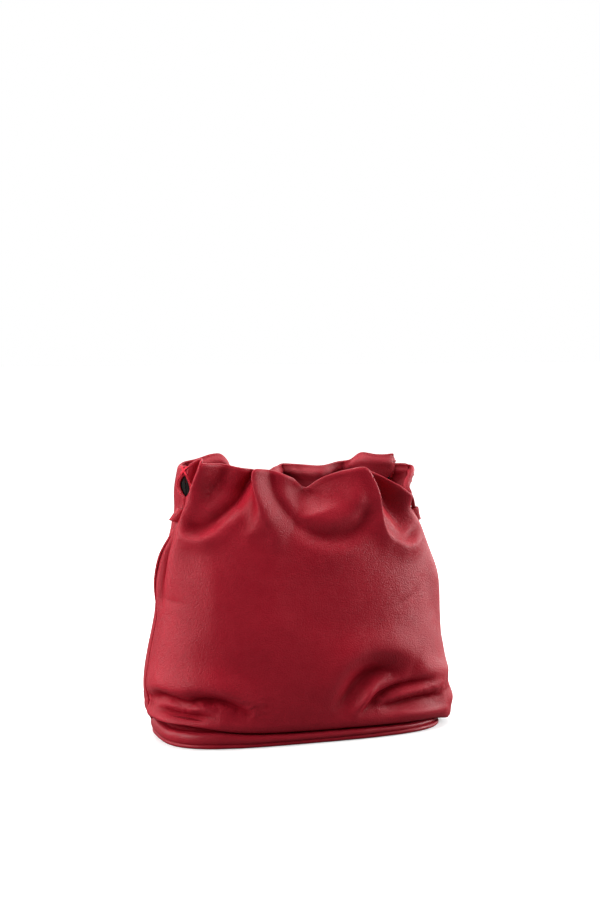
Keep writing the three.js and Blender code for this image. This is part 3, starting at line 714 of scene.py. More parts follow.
def leather(name, deep, middle, light, roughness, specular=0.5, grain=1.0, scale=1.0):
    """Soft leather: uneven dye, painted crease shade, edges paler by wear and painted highlight,
    fine pebbled grain.
    """
    material, tree = new_material(name)
    tree.nodes.clear()
    output = add_node(tree, "ShaderNodeOutputMaterial")
    shader = add_node(tree, "ShaderNodeBsdfPrincipled")
    set_inputs(tree, output, {0: shader.outputs[0]})
    spot = add_node(tree, "ShaderNodeTexCoord").outputs["Object"]

    clouds = noise_texture(tree, spot, scale=16.0, detail=3.0, roughness=0.55)
    mottle = noise_texture(tree, spot, scale=120.0, detail=4.0, roughness=0.6)
    color = mix(tree, remap(tree, clouds, span=(0.32, 0.68)), deep, middle)
    color = mix(tree, remap(tree, mottle, span=(0.35, 0.75), to=(0.0, 0.35)), color, light)

    # attributes of the mesh: the painted shade amount grows in creases and hollows, the edge
    # amount on ridges and rims
    painted_shade = add_node(tree, "ShaderNodeAttribute", attribute_name="painted_shade").outputs["Fac"]
    edge = add_node(tree, "ShaderNodeAttribute", attribute_name="edge").outputs["Fac"]
    dark = (deep[0] * 0.5, deep[1] * 0.3, deep[2] * 0.35)
    pale = (light[0] * 1.15, light[1] * 1.6, light[2] * 1.5)
    # painted shade: creases and hollows darken towards the dark colour
    color = mix(tree, remap(tree, painted_shade, span=(0.0, 1.6), to=(0.0, 0.85)), color, dark)
    # edges and rims go paler: partly wear, partly painted highlight
    color = mix(tree, remap(tree, edge, span=(0.0, 1.0), to=(0.0, 0.35)), color, pale)

    # pebbled grain: rounded cells, small pores and two sizes of unevenness
    cells = add_node(
        tree,
        "ShaderNodeTexVoronoi",
        {"Vector": spot, "Scale": 860.0 * scale, "Smoothness": 0.35},
        feature="SMOOTH_F1",
    ).outputs["Distance"]
    pore_inputs = {"Vector": spot, "Scale": 1500.0 * scale}
    pore_cells = add_node(tree, "ShaderNodeTexVoronoi", pore_inputs, feature="F1")
    fine = noise_texture(tree, spot, scale=1500.0 * scale, detail=4.0, roughness=0.65)
    wave = noise_texture(tree, spot, scale=260.0 * scale, detail=3.0, roughness=0.5)
    pores = remap(tree, pore_cells.outputs["Distance"], span=(0.0, 0.25), to=(1.0, 0.0))
    color = mix(tree, remap(tree, cells, span=(0.25, 0.75), to=(0.0, 0.22)), color, dark)

    height, weight = cells, -0.9
    for layer, layer_weight in ((fine, 0.35), (wave, 0.32), (pores, -0.12)):
        weighted = calculate(tree, "MULTIPLY", height, weight)
        height = calculate(tree, "MULTIPLY_ADD", layer, layer_weight, weighted)
        weight = 1.0
    relief = {"Strength": 0.66 * grain, "Distance": 0.00045, "Height": height}
    bumps = add_node(tree, "ShaderNodeBump", relief)
    base_roughness = remap(
        tree, mottle, span=(0.3, 0.7), to=(roughness - 0.05, roughness + 0.07)
    )
    # painted shade on the reflection too: less specular in creases and hollows
    shine = remap(tree, painted_shade, span=(0.0, 1.2), to=(specular, specular * 0.15))
    set_inputs(tree, shader, {
        "Base Color": color,
        "Normal": bumps.outputs[0],
        "Roughness": calculate(tree, "MULTIPLY_ADD", cells, 0.10, base_roughness),
        "Specular IOR Level": shine,
        "Coat Weight": 0.0,
        "Coat Roughness": 0.35,
        "Sheen Weight": 0.0,
        "Sheen Roughness": 0.4,
        "Sheen Tint": (1.0, 0.75, 0.75, 1),
    })
    return material


def cloth(name, dark, light, pitch=900.0, roughness=0.92):
    """Plain woven cloth: two crossed sets of threads; a larger pitch gives a finer weave."""
    material, tree = new_material(name)
    spot = add_node(tree, "ShaderNodeTexCoord").outputs["Object"]
    threads = []
    for axis in ("X", "Z"):
        inputs = {"Vector": spot, "Scale": pitch / TURN, "Distortion": 1.2, "Detail": 2.0}
        wave = add_node(tree, "ShaderNodeTexWave", inputs, bands_direction=axis)
        threads.append(wave.outputs["Fac"])
    weave = calculate(tree, "MULTIPLY", *threads)
    patches = noise_texture(tree, spot, scale=60.0, detail=4.0, roughness=0.5)
    shade = calculate(tree, "MULTIPLY_ADD", weave, 0.5, patches)
    color = mix(tree, shade, dark, light)
    relief = {"Strength": 0.5, "Distance": 0.0004, "Height": weave}
    bumps = add_node(tree, "ShaderNodeBump", relief)
    set_inputs(tree, tree.nodes["Principled BSDF"], {
        "Base Color": color,
        "Normal": bumps.outputs[0],
        "Roughness": roughness,
        "Specular IOR Level": 0.2,
    })
    return material


MATERIALS = {
    "red_leather": leather(
        "red_leather", deep=(0.325, 0.0085, 0.0200), middle=(0.385, 0.0110, 0.0245),
        light=(0.440, 0.0165, 0.0310), roughness=0.36, specular=0.17,
    ),
    "red_leather_band": leather(
        "red_leather_band", deep=(0.325, 0.0088, 0.0205), middle=(0.375, 0.0115, 0.0250),
        light=(0.425, 0.016, 0.031), roughness=0.33, grain=0.55, specular=0.27,
    ),
    "facing_leather": leather(
        "facing_leather", deep=(0.320, 0.0110, 0.0225), middle=(0.380, 0.0150, 0.0280),
        light=(0.430, 0.022, 0.036), roughness=0.46, grain=0.9, specular=0.28,
    ),
    "cord_leather": leather(
        "cord_leather", deep=(0.300, 0.0085, 0.0190), middle=(0.360, 0.0110, 0.0240),
        light=(0.420, 0.016, 0.030), roughness=0.43, grain=0.6, scale=1.4,
    ),
    "lining_cloth": cloth(
        "lining_cloth", dark=(0.0045, 0.0035, 0.0032), light=(0.014, 0.011, 0.010)
    ),
    "board_fibre": cloth(
        "board_fibre", dark=(0.10, 0.082, 0.060), light=(0.19, 0.16, 0.125), pitch=500.0
    ),
    "thread": cloth(
        "thread", dark=(0.62, 0.012, 0.030), light=(0.85, 0.030, 0.060), pitch=4200.0,
        roughness=0.6,
    ),
}


# ------------------------------------------------------------------ leather panels
def slit_half(z, side):
    """Half opening of a side seam, an almond slit near its top."""
    low, high = SIDES[side]["slit"]
    part = np.clip((z - low) / (high - low), 0, 1)
    almond = np.sin(np.pi * part) ** 0.8 * (1 - 0.25 * (2 * part - 1))
    return 0.35 + 0.6 * smooth(243, 249, z) + SIDES[side]["opening"] * almond


def between_slits(face, across, z, half_gap):
    """Places across a half, its ends held back by half_gap(z, side)."""
    first, second = ("left", "right") if face == FRONT else ("right", "left")
    start, end = half_gap(z, first) / girth_at(z), half_gap(z, second) / girth_at(z)
    # the sixth powers keep the opening local to the ends
    return (face - 0.25) + start * (1 - across) ** 6 + 0.5 * across - end * across**6


def shade_maps(points, normals):
    """Painted shade and edge amounts from how the surface bends over three reaches: hollows get
    painted shade, ridges paler edges, partly wear and partly painted highlight.
    """
    fine, middle, broad = [
        np.einsum("ijk,ijk->ij", points - blur(points, reach, reach), normals)
        for reach in (3, 14, 44)
    ]
    painted_shade = np.clip(-fine * 6, 0, 1) * 0.4 + np.clip(-middle * 0.7, 0, 1.0)
    painted_shade = painted_shade + np.clip(-broad * 0.16, 0, 0.7)
    edge = np.clip(fine * 6, 0, 1) * 0.5 + np.clip(middle * 0.6, 0, 1)
    return np.clip(painted_shade, 0, 1.5), np.clip(edge, 0, 1)


def seam_dip(points, normals, z):
    """The side seams sink the leather's edge a little, with a pucker at each stitch."""
    travelled = distances(points[120])
    for inset in (travelled, travelled[-1] - travelled):
        dip = -1.1 * bump(inset, 1.6) + 0.5 * bump(inset - 4.2, 2.4)
        pucker = 0.06 * bump(inset - 3, 3.0) * np.sin(2 * np.pi * z / STITCH_PITCH)
        points = points + normals * (dip + pucker)[..., None]
    return points


def add_leather_panel(half, face):
    up = np.linspace(0, 1, PANEL_ROWS)[:, None]
    across = np.linspace(0, 1, PANEL_COLUMNS)[None, :]
    # closer columns at the sides, where the seam and slit edges are
    across = across - 0.010 * np.sin(2 * np.pi * across)
    plain_place = (face - 0.25) + 0.5 * across
    low, high = skirt_z(plain_place), rim_z(plain_place)
    z = low + (high - low) * up
    place = between_slits(face, across, z, slit_half)
    points = leather_point(place, z)
    points = seam_dip(points, normals_of(points), z)

    # the rim's edge rolls in slightly, the skirt's edge tucks under
    normals = normals_of(points)
    below_rim = rim_z(place) - z
    above_skirt = z - skirt_z(place)
    points = points - normals * (0.9 * bump(below_rim, 1.3))[..., None]
    tuck = 1.2 * bump(above_skirt, 1.5) - 0.8 * bump(above_skirt - 6, 4.5)
    points = points - normals * tuck[..., None]

    normals = normals_of(points)
    inner = points - unit(blur(normals, 4, 4)) * PANEL_THICKNESS
    # painted shade in the hollows and, evenly, on the inner face; the rim's edge paler, partly
    # wear and partly painted highlight
    painted_shade, edge = shade_maps(points, normals)
    edge = np.clip(edge + 0.8 * bump(below_rim, 1.0), 0, 1)
    add_piece(
        f"{half}_leather", slab(points, inner), "red_leather",
        replaces=(f"{half}_panel", f"{half}_panel_top"), half=half,
        attributes={
            "painted_shade": slab_values(painted_shade.shape, painted_shade, inner=0.6, rim=0),
            "edge": slab_values(edge.shape, edge, inner=0, rim=0.5),
        },
    )


# ------------------------------------------------------------------ facing, tunnel and lining
def tunnel_line(places):
    """Leather points and normals at the height of the cord in the tunnel."""
    rows = (rim_z(places) - CORD_DROP)[None, :] + np.array([[-1.0], [0], [1.0]])
    grid = leather_point(places[None, :], rows)
    return grid[1], normals_of(grid)[1]


def add_facing(half, face):
    """Facing of the rim, with the stitches along its lower edge and the cord in its tunnel."""
    across = np.linspace(0, 1, 240)[None, :]
    plain_place = (face - 0.25) + 0.5 * across
    below_rim = np.linspace(FACING_HEIGHT, 0.6, 34)[:, None] * np.ones_like(plain_place)
    z = rim_z(plain_place) - below_rim
    place = between_slits(face, across, z, lambda z, side: slit_half(z, side) + 0.9)
    points = leather_point(place, z)
    normals = unit(blur(normals_of(points), 1, 1))

    # the tunnel is drawn flat near the sides, with small puckers all along
    depth = np.interp(below_rim, FACING_DEPTHS[:, 0], FACING_DEPTHS[:, 1])
    turn = np.mod(place, 1)
    tight = np.clip(bump(turn - 0.545, 0.022) + bump(turn - 0.035, 0.02), 0, 1)
    depth = 1.65 + (depth - 1.65) * (1 - 0.85 * tight)
    puckers = np.sin(2 * np.pi * place * girth_at(z) / 7.3)
    depth = depth + 0.35 * puckers * bump(below_rim - 8, 5)
    outer = points - normals * depth[..., None]
    inner = blur(points - normals * (depth + 1.0)[..., None], 1, 3)
    # the inner grid is the face that shows
    # painted shade in the facing's hollows; its edges paler, partly wear and partly painted
    # highlight
    painted_shade, edge = shade_maps(inner, -normals)
    replaced_side = "left" if half == "front" else "right"
    add_piece(
        f"{half}_facing", slab(outer, inner), "facing_leather",
        replaces=(f"{half}_rim_facing", f"{replaced_side}_rim_facing"), half=half,
        attributes={
            "painted_shade": slab_values(painted_shade.shape, 0, painted_shade, rim=0),
            "edge": slab_values(edge.shape, 0, edge, rim=0.4),
        },
    )

    line, line_normals = tunnel_line(np.linspace(face - 0.25 + 0.012, face + 0.25 - 0.012, 200))
    line_normals = unit(blur(line_normals[None], 0, 2)[0])
    cord = rope(resample(line - line_normals * CORD_DEPTH, 1.2), TUNNEL_CORD_RADIUS, sides=10)
    add_piece(
        f"{half}_cord", cord, "cord_leather", replaces=(f"drawstring_{half}_run",), half=half
    )

    seam = (inner[2] - normals[2] * 0.05)[4:-4]
    sewn = stitches(seam, -normals[2][4:-4], pitch=STITCH_PITCH, radius=0.3)
    add_piece(f"{half}_facing_stitches", sewn, "thread", half=half)


def lining_gap(z, side):
    """The lining is closed behind the left slit and cut open behind the right one."""
    return 0.4 if side == "left" else slit_half(z, side) + 1.6


def add_lining(half, face):
    across = np.linspace(0, 1, 170)[None, :]
    up = np.linspace(0, 1, 100)[:, None]
    plain_place = (face - 0.25) + 0.5 * across + 0 * up
    rise = 13.5 * bump(wrapped(plain_place), 0.022)
    z = 25.0 + (rim_z(plain_place) - 20.5 + rise - 25.0) * up
    place = between_slits(face, across, z, lining_gap)
    # the lining passes straight behind the pleat of the right wing
    points = leather_point(place, z, pleat=0.0)
    behind_pleat = 16.5 * smooth(199, 230, z) * bump(np.mod(place, 1) - 0.552, 0.030)
    normals = normals_of(points)
    normals[..., 2] *= 0.3
    normals = unit(normals)
    slack = noise(plain_place * 60, z / 22, z * 0 + 2, 21) * 0.6 + 0.6
    slack = slack * smooth(40, 80, z) * smooth(0, 26, rim_z(plain_place) - z - 16)
    # it leans in over the base, clear of the band's wall
    depth = 2.9 + slack + behind_pleat + 11.5 * smooth(50, 25, z)
    outer = blur(points - normals * depth[..., None], 1, 2)
    foot = []
    for part, foot_z in ((1.0, 7.5), (0.7, 12.0), (0.35, 18.0)):
        row = outer[0] - normals[0] * 5.5 * part
        row[:, 2] = foot_z
        foot.append(row)
    outer = np.concatenate([np.array(foot), outer])
    normals = np.concatenate([np.repeat(normals[:1], 3, 0), normals])
    add_piece(
        f"{half}_cloth_lining", slab(outer, outer - normals * 0.7), "lining_cloth",
        replaces=(f"{half}_lining", f"{half}_lining_top"), half=half,
    )


# ------------------------------------------------------------------ base
def outline_gap(place, z):
    """How much farther from the bag's axis the plain body is at height z than at the base."""
    return float(np.hypot(*loop_point(place, z)) - np.hypot(*loop_point(place, BASE_Z)))


def band_profile(place):
    """Rolled band: round soft face, and behind it a wall that rises inside the panels' hem.

    Its points are (depth behind the base outline, height).
    """
    tuck = 3.2 * float(bump(wrapped(place - 0.44), 0.09))
    hem = max(9.0, float(skirt_z(place)))
    low, high = 3.4, min(14.5, max(9.5, hem - 2.0)) - tuck * 0.35
    middle, radius = (low + high) / 2, (high - low) / 2
    profile = [
        (3.9 + tuck - 4.4 * math.cos(angle) ** 0.75, middle + radius * math.sin(angle))
        for angle in np.linspace(-0.5 * np.pi, 0.5 * np.pi, 17)
    ]
    profile += [(6.2 + tuck, high + 0.4), (8.0 + tuck, high + 1.6)]
    for z in (high + 4.5, hem + 1.5, hem + 5.0):
        z = max(z, high + 3.0 + 0.01 * z)
        part = (z - high) / (hem + 5.0 - high)
        depth = (1 - part) * (8.8 + 0.5 * tuck) + part * (2.6 - outline_gap(place, min(z, 24)))
        profile.append((depth, z))
    profile.append((depth + 1.3, z))
    profile += [(10.4 + 0.5 * tuck, high + 3.5), (6.9, low)]
    return profile[::-1]


def add_base_ring(name, profiles, wobble, seed, replaces, painted_shade=0.0):
    """Closed profiles [place, point, (depth, height)] carried round the base."""
    z = profiles[..., 1]
    place = RING[:, None] + np.zeros_like(z)
    level = np.full_like(z, BASE_Z)
    x, y = loop_point(place, level)
    out = wobble * noise(x / 14, y / 14, z / 20, seed) - profiles[..., 0]
    points = np.stack([*push_out(place, level, out), z], -1)
    sections, count = z.shape
    faces = []
    for i in range(sections):
        here, after = i * count, (i + 1) % sections * count
        for k in range(count):
            n = (k + 1) % count
            faces.append((here + k, here + n, after + n, after + k))
    # the given painted shade amount darkens the band where it is set
    add_piece(
        name, (points.reshape(-1, 3), faces), "red_leather_band", replaces=(replaces,),
        attributes={"painted_shade": np.broadcast_to(painted_shade, z.shape).ravel()},
    )


def add_base():
    # painted shade of the band's points: dark on the hidden wall, none on the round face
    wall_painted_shade = [1, 1, 1] + [1.6] * 5 + [1.0] + [0] * 16
    band = np.array([band_profile(place) for place in RING])
    add_base_ring("base_rolled_band", band, 0.5, 31, "base_band", wall_painted_shade)
    angle = np.linspace(0, 2 * np.pi, 14, endpoint=False)
    piping = np.stack([3.1 + 2.2 * np.cos(angle), 2.2 + 2.1 * np.sin(angle)], -1)
    piping = np.repeat(piping[None], len(RING), 0)
    add_base_ring("base_edge_piping", piping, 0.25, 33, "base_piping")


def dress_cad_pieces():
    """CAD pieces of the base that stay get their materials."""
    looks = {
        "base_panel": "red_leather_band",
        "base_board": "board_fibre",
        "base_lining": "lining_cloth",
    }
    for name, look in looks.items():
        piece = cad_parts[name]
        piece.data.materials.clear()
        piece.data.materials.append(MATERIALS[look])


# ------------------------------------------------------------------ side details
def line_frame(places, heights, step):
    """Leather points and outward normals along a line that rises."""
    across = leather_point(places + np.array([[-step], [0], [step]]), heights[None, :])
    upright = leather_point(places, heights + np.array([[-1.0], [0], [1.0]]))
    return across[1], unit(np.cross(across[2] - across[0], upright[2] - upright[0]))


def leather_x(place, y, z):
    """x of the sculpted side at depth y and height z."""
    points = leather_point(place + np.linspace(-0.06, 0.06, 121), np.full(121, float(z)))
    points = points[np.argsort(points[:, 1])]
    return float(np.interp(y, points[:, 1], points[:, 0]))


def fall_line(outward):
    """Unit vectors down along the hanging cords, and away from the bag square to that."""
    along = unit(np.array([FALL_X * outward, 0, -FALL_Z]))
    return along, unit(np.array([FALL_Z * outward, 0, FALL_X]))


# The cords run straight over the right side, clear of the leather.
CORD_Y = float(leather_point(0.5, 196.0)[1])
CORD_X = max(
    leather_x(0.5, CORD_Y + dy, z) + 3.5 - (KEEPER_Z - z) * FALL_SLOPE
    for z in np.arange(176.0, 205.0, 2.0)
    for dy in (-CORD_HALF_GAP, CORD_HALF_GAP)
)
KEEPER_MIDDLES = {
    "right": np.array([CORD_X, CORD_Y, KEEPER_Z]),
    "left": leather_point(0.0, 202.0) + np.array([-0.2, -2.0, 0]),
}


def add_slit_stitches(side, place, slit):
    """Stitched lips on both sides of the slit."""
    heights = np.linspace(slit[0] + 1.5, slit[1] + 2.0, 24)
    parts = []
    for direction in (-1, 1):
        places = place + direction * (slit_half(heights, side) + 1.9) / girth_at(heights)
        line, normals = line_frame(places, heights, step=0.003)
        parts.append(stitches(line, normals, pitch=3.4, length=2.5, radius=0.40, lift=0.45))
    add_piece(f"{side}_slit_stitches", join(parts), "thread")


def add_cross_tack(side, place, z):
    """Cross of five threads each way above the slit."""
    places, heights = place + np.array([[-0.004, 0, 0.004]]), z + np.array([[-1.0], [0], [1.0]])
    grid = leather_point(places, heights)
    centre = grid[1, 1]
    normal = unit(normals_of(grid)[1, 1])
    forward = unit(grid[1, 2] - grid[1, 0])
    up = np.cross(normal, forward)
    random = np.random.RandomState(5)
    parts = []
    for direction in (-1, 1):
        for k in range(5):
            shift = (k - 2) * 0.42
            start = centre + forward * (-3.2 * direction + shift) + up * -3.6
            end = centre + forward * (3.2 * direction + shift) + up * 3.6
            height = 0.95 + 0.12 * direction + random.rand() * 0.15
            thread = [
                start - normal * 0.5,
                start + normal * 0.35,
                (start + end) / 2 + normal * height,
                end + normal * 0.35,
                end - normal * 0.5,
            ]
            parts.append(rope(spline(thread, 0.8), 0.36, sides=7))
    add_piece(f"{side}_cross_tack", join(parts), "thread", replaces=(f"{side}_bar_tack",))


def add_seam_edge(side, place):
    """Raised turned edge of the side seam."""
    z = np.linspace(19, 182, 150)
    line, normals = line_frame(np.full(150, place), z, step=0.0035)
    radius = 1.15 + 0.04 * np.sin(2 * np.pi * z / STITCH_PITCH)
    radius = radius + 0.15 * noise(z / 9, z * 0, z * 0, 41)
    sink = 0.25 + 0 * z
    if side == "right":
        sink = sink + 0.8 * smooth(186, 170, z) * smooth(108, 122, z)
    edge = rope(line - normals * sink[:, None], radius, sides=12)
    add_piece(f"{side}_seam_edge", edge, "red_leather", replaces=(f"{side}_seam_welt",))


def add_keeper(side, place, outward):
    """Keeper loop: a strap sewn down at both ends; the left one gapes at its lower edge."""
    middle = KEEPER_MIDDLES[side]
    down, out = fall_line(outward)

    def foot(drop, direction, half_width):
        """Height of the leather under the strap's sewn end, from the strap's middle."""
        at = middle + down * drop
        leather_at = leather_x(place, at[1] + direction * (half_width + 3.0), at[2])
        height = (abs(leather_at) - abs(at[0])) * out[0] * outward + 0.7
        return max(-6.5, min(-1.5, height))

    outer, inner = [], []
    for drop in np.linspace(-KEEPER_HALF, KEEPER_HALF, 19):
        part = (drop + KEEPER_HALF) / (2 * KEEPER_HALF)
        arch = 3.3 if side == "right" else 2.4 + 5.2 * part**1.2
        half_width = (5.6 if side == "right" else 5.2) - 0.5 * part
        back_foot, front_foot = foot(drop, 1, half_width), foot(drop, -1, half_width)
        profile = [(half_width + 3.4, back_foot), (half_width + 1.8, back_foot + 0.25)]
        for angle in np.linspace(0.06, np.pi - 0.06, 30):
            cosine, sine = math.cos(angle), math.sin(angle)
            low = 0.5 + (back_foot if cosine > 0 else front_foot)
            y = half_width * math.copysign(abs(cosine) ** 0.7, cosine)
            profile.append((y, low + (arch - low) * sine**0.7))
        profile += [(-half_width - 1.8, front_foot + 0.25), (-half_width - 3.4, front_foot)]
        profile = spaced(np.array(profile), 44)
        tangents = unit(np.gradient(profile, axis=0))
        normals = np.c_[tangents[:, 1], -tangents[:, 0]]
        wave = 0.18 * np.sin(profile[:, 0] * 0.9 + drop * 0.6)
        lean = 0.5 * math.sin(part * 2.2)
        for rows, offset in ((outer, 0.6 + wave), (inner, -0.6 + wave)):
            moved = profile + normals * offset[:, None]
            row = middle + Y_AXIS * (moved[:, :1] + lean) + out * moved[:, 1:] + down * drop
            rows.append(row)
    outer, inner = np.array(outer), np.array(inner)
    vertices, faces = slab(outer, inner)
    if side == "left":
        # the strap's grids are mirrored here, so the faces turn round to look out
        faces = faces[:, ::-1]
    shape = outer.shape[:2]
    # painted shade on the strap's underside; its cut edges paler, partly wear and partly painted
    # highlight
    add_piece(
        f"{side}_keeper_strap", (vertices, faces), "red_leather",
        replaces=(f"{side}_keeper_loop",),
        attributes={
            "edge": slab_values(shape, outer=0.15, inner=0.15, rim=1),
            "painted_shade": slab_values(shape, outer=0, inner=1.6, rim=0),
        },
    )

    def row_of_stitches(start, end, **settings):
        return stitches(np.linspace(start, end, 5), np.array([out] * 5), **settings)

    parts = []
    for direction in (-1, 1):
        start, end = [
            middle + Y_AXIS * 7.6 * direction + out * (foot(drop, direction, 5.2) + 0.75)
            + down * drop
            for drop in (-4.8, 4.8)
        ]
        parts.append(row_of_stitches(start, end, pitch=3.2, length=2.3, radius=0.33))
    if side == "left":
        upper = middle + out * 1.6 - down * 5.0
        start, end = upper - Y_AXIS * 4.6, upper + Y_AXIS * 4.6
        parts.append(row_of_stitches(start, end, pitch=2.6, length=1.9, radius=0.36))
    add_piece(f"{side}_keeper_stitches", join(parts), "thread")


# ------------------------------------------------------------------ drawstring outside the tunnel
def on_fall_line(z, direction):
    """Middle of a hanging cord at height z; direction is -1 for the front one, 1 for the back."""
    return CORD_X + (KEEPER_Z - z) * FALL_SLOPE, CORD_Y + CORD_HALF_GAP * direction, z


def add_cord_exit(half, direction):
    """The cord out of the right slit and down through the keeper."""
    slit_y = float(leather_point(0.5, 213.0)[1])
    lip = leather_x(0.5, slit_y, 215.0)
    turn_x = max(lip + 1.9, on_fall_line(212.6, direction)[0] - 0.6)
    path = [
        (lip - 9.0, slit_y + 3.0 * direction, 219.5),
        (lip - 4.0, slit_y + 2.2 * direction, 218.0),
        (lip - 0.2, slit_y + 1.9 * direction, 216.0),
        (turn_x, (slit_y + CORD_Y) / 2 + 1.95 * direction, 212.6),
    ]
    path += [on_fall_line(z, direction) for z in (209, 203, 198, 186, 173.5)]
    line = spline(path, 0.9)
    cord = rope(line, 1.38 + 0.04 * np.sin(np.arange(len(line)) * 0.9))
    add_piece(f"cord_exit_{half}", cord, "cord_leather", replaces=(f"drawstring_exit_{half}",))


def add_cord_tail(half, direction):
    """The free end: hangs off the keeper, a little waved, and ends in a knot."""
    down, _ = fall_line(1)
    out = np.cross(down, Y_AXIS)
    start = np.array(on_fall_line(196.5, direction))
    length = 74 if half == "front" else 66
    # distance down, shift away from the other cord, shift in x
    hanging = [
        (0, 0.0, 0), (12, 0.0, 0), (24, 0.0, 0), (36, 0.15, 0.1), (50, 0.5, 0.2),
        (length - 12, 0.9, 0.5), (length, 1.8, 1.3),
    ]
    loose_end = [(1.0, 0.0, 0), (6, 0.6, -0.6), (12, 1.4, -1.6), (17, 1.6, -2.8)]

    def placed(origin, stations):
        return [origin + down * drop + np.array([x, y * direction, 0]) for drop, y, x in stations]

    nodes = placed(start, hanging)
    line = spline(nodes, 0.9)
    parts = [rope(line, 1.58 + 0.04 * np.sin(np.arange(len(line)) * 0.8))]
    knot = nodes[-1]
    wrap = [
        knot
        + down * (2.0 * math.sin(2 * angle) * 0.55 + (angle / TURN - 0.5) * 1.5)
        + Y_AXIS * 2.2 * math.cos(angle)
        + out * 1.9 * math.sin(angle)
        for angle in np.linspace(0, 2 * np.pi * 1.12, 46)
    ]
    parts.append(rope(resample(wrap, 0.8), 1.4, sides=12))
    core = [
        knot
        + down * (-2.4 + 4.8 * part)
        + Y_AXIS * 0.9 * math.sin(part * TURN)
        + out * 1.0 * math.cos(part * TURN)
        for part in np.linspace(0, 1, 20)
    ]
    parts.append(rope(resample(core, 0.8), 1.5, sides=12))
    line = spline(placed(knot, loose_end), 0.9)
    parts.append(rope(line, np.linspace(1.5, 1.25, len(line))))
    add_piece(
        f"cord_tail_{half}", join(parts), "cord_leather",
        replaces=(f"drawstring_tail_{half}",), ride="drawstring_ends",
    )


def add_left_turn():
    """The cord where it passes the left slit, inside the tunnel."""
    line, normals = tunnel_line(np.linspace(-0.02, 0.02, 20))
    cord = rope(line - normals * CORD_DEPTH, TUNNEL_CORD_RADIUS, sides=10)
    add_piece("cord_left_turn", cord, "cord_leather", replaces=("drawstring_left_turn",))


# ------------------------------------------------------------------ floor, light, camera
WHITE = (1, 1, 1, 1)
AWAY_FROM_CAMERA = (0.3256, 0.9455, 0.0)

# Area lights, in metres and watts: name, location, height aimed at on the z axis, size, power
LIGHTS = [
    ("top", (0.0, 0.18, 1.5), 0.1, (1.4, 1.0), 24.5),
    ("left", (-1.35, -0.50, 0.64), 0.14, (0.8, 1.0), 19),
    ("right", (1.50, -0.25, 0.60), 0.13, (0.9, 1.1), 31),
    ("left_back", (-1.30, 0.55, 0.45), 0.13, (0.5, 0.9), 9),
    ("right_back", (1.35, 0.85, 0.45), 0.13, (0.5, 0.9), 5),
    ("behind", (0.3, 1.5, 1.1), 0.15, (1.8, 0.7), 6),
]

CAMERA_AZIMUTH = -19.0  # degrees from the front, towards the left
CAMERA_ELEVATION = 9.5  # degrees above the point it circles
CAMERA_LIFT = 5.21993905  # degrees it looks above that point
CAMERA_DISTANCE = 1500.0
CAMERA_CENTRE = np.array([0, 0, 120.0])
SENSOR_WIDTH, SENSOR_SHIFT, FOCAL_LENGTH = 36.0, 0.12, 64.8


def add_world(scene):
    """White to the camera; lights with a bright backdrop and a dark studio on its own side."""
    world = bpy.data.worlds.new("studio")
    scene.world = world
    world.use_nodes = True
    tree = world.node_tree
    lighting = tree.nodes["Background"]
    # this strength holds only while the ramp below is unlinked
    set_inputs(tree, lighting, {"Color": WHITE, "Strength": 0.055})
    seen = add_node(tree, "ShaderNodeBackground", {"Color": WHITE, "Strength": 1.0})
    ray = add_node(tree, "ShaderNodeLightPath").outputs["Is Camera Ray"]
    mixed = add_node(
        tree, "ShaderNodeMixShader", {0: ray, 1: lighting.outputs[0], 2: seen.outputs[0]}
    )
    direction = add_node(tree, "ShaderNodeTexCoord").outputs["Generated"]
    inputs = {0: direction, 1: AWAY_FROM_CAMERA}
    facing = add_node(tree, "ShaderNodeVectorMath", inputs, operation="DOT_PRODUCT")
    strength = remap(
        tree, facing.outputs["Value"], span=(0.10, 0.85), to=(0.050, 0.85),
        interpolation="SMOOTHSTEP",
    )
    set_inputs(tree, lighting, {"Strength": strength})
    set_inputs(tree, tree.nodes["World Output"], {0: mixed.outputs[0]})


def floor_material():
    """White floor that brightens away from the bag; only the camera sees it so light."""
    material, tree = new_material("floor_white")
    spot = add_node(tree, "ShaderNodeTexCoord").outputs["Object"]
    distance = add_node(tree, "ShaderNodeVectorMath", {0: spot}, operation="LENGTH")
    glow = remap(
        tree, distance.outputs["Value"], span=(0.15, 0.75), to=(0.42, 1.0),
        interpolation="SMOOTHSTEP",
    )
    ray = add_node(tree, "ShaderNodeLightPath").outputs["Is Camera Ray"]
    set_inputs(tree, tree.nodes["Principled BSDF"], {
        "Emission Strength": calculate(tree, "MULTIPLY", glow, ray),
        "Emission Color": WHITE,
        "Base Color": mix(tree, ray, (0.16, 0.16, 0.16), (0.80, 0.80, 0.80)),
        "Roughness": 0.8,
        "Specular IOR Level": 0.1,
    })
    return material


def add_floor():
    left, right, near, far, z = -9000, 9000, -3000, 14000, -0.15
    corners = [(left, near, z), (right, near, z), (right, far, z), (left, far, z)]
    floor = new_mesh("floor", (np.array(corners, float), [(0, 1, 2, 3)]), floor_material())


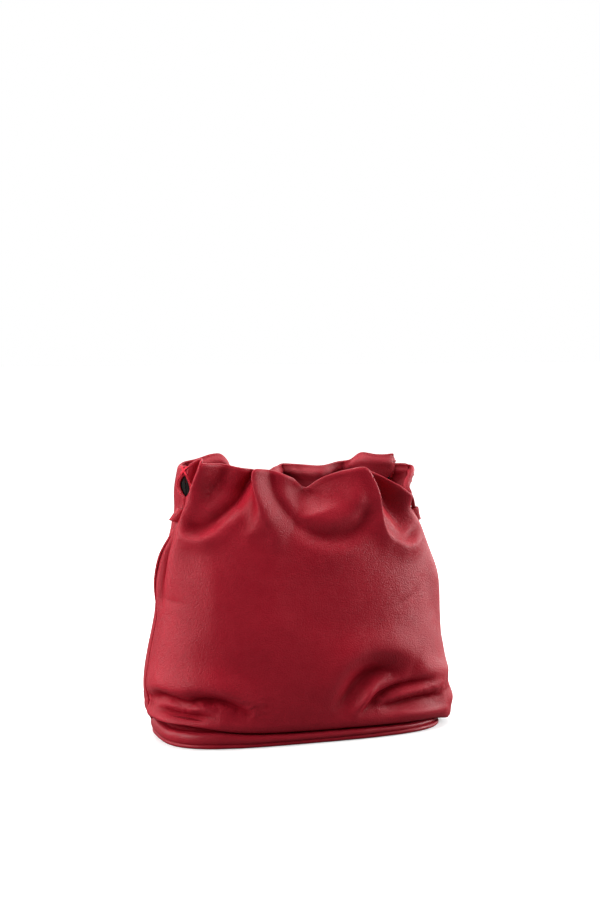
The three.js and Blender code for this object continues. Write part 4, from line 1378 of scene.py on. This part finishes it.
def add_aimed(name, data, location, direction):
    """Object of a light or camera that looks along a direction."""
    aimed = bpy.data.objects.new(name, data)
    aimed.location = location
    aimed.rotation_mode = "QUATERNION"
    aimed.rotation_quaternion = Vector(direction).to_track_quat("-Z", "Y")
    bpy.context.scene.collection.objects.link(aimed)
    return aimed


def add_lights():
    for name, location, aim_z, size, power in LIGHTS:
        light = bpy.data.lights.new(name, "AREA")
        light.shape = "RECTANGLE"
        light.size, light.size_y = size
        light.energy = power
        add_aimed(name, light, location, Vector((0, 0, aim_z)) - Vector(location))


def camera_direction(elevation):
    """Unit vector towards the camera's azimuth at an elevation in degrees."""
    azimuth, elevation = math.radians(CAMERA_AZIMUTH), math.radians(elevation)
    level = math.cos(elevation)
    return np.array(
        [math.sin(azimuth) * level, -math.cos(azimuth) * level, math.sin(elevation)]
    )


def add_camera(scene):
    camera = bpy.data.cameras.new("camera")
    camera.sensor_width = SENSOR_WIDTH
    camera.lens = FOCAL_LENGTH
    camera.shift_x = SENSOR_SHIFT / SENSOR_WIDTH
    camera.clip_start, camera.clip_end = 0.05, 30
    location = CAMERA_CENTRE + camera_direction(CAMERA_ELEVATION) * CAMERA_DISTANCE
    look = -camera_direction(CAMERA_ELEVATION - CAMERA_LIFT)
    scene.camera = add_aimed("camera", camera, Vector(location * MM), look)


# ------------------------------------------------------------------ build
for half, face in HALVES.items():
    add_leather_panel(half, face)
for half, face in HALVES.items():
    add_facing(half, face)
for half, face in HALVES.items():
    add_lining(half, face)
add_base()
dress_cad_pieces()
for side, details in SIDES.items():
    place = details["place"]
    add_slit_stitches(side, place, details["slit"])
    add_cross_tack(side, place, details["tack_z"])
    add_seam_edge(side, place)
    add_keeper(side, place, details["outward"])
for half, direction in (("front", -1), ("back", 1)):
    add_cord_exit(half, direction)
    add_cord_tail(half, direction)
add_left_turn()

scene = bpy.context.scene
scene.view_settings.view_transform = "Standard"
scene.view_settings.look = "None"
add_world(scene)
add_floor()
add_lights()
add_camera(scene)
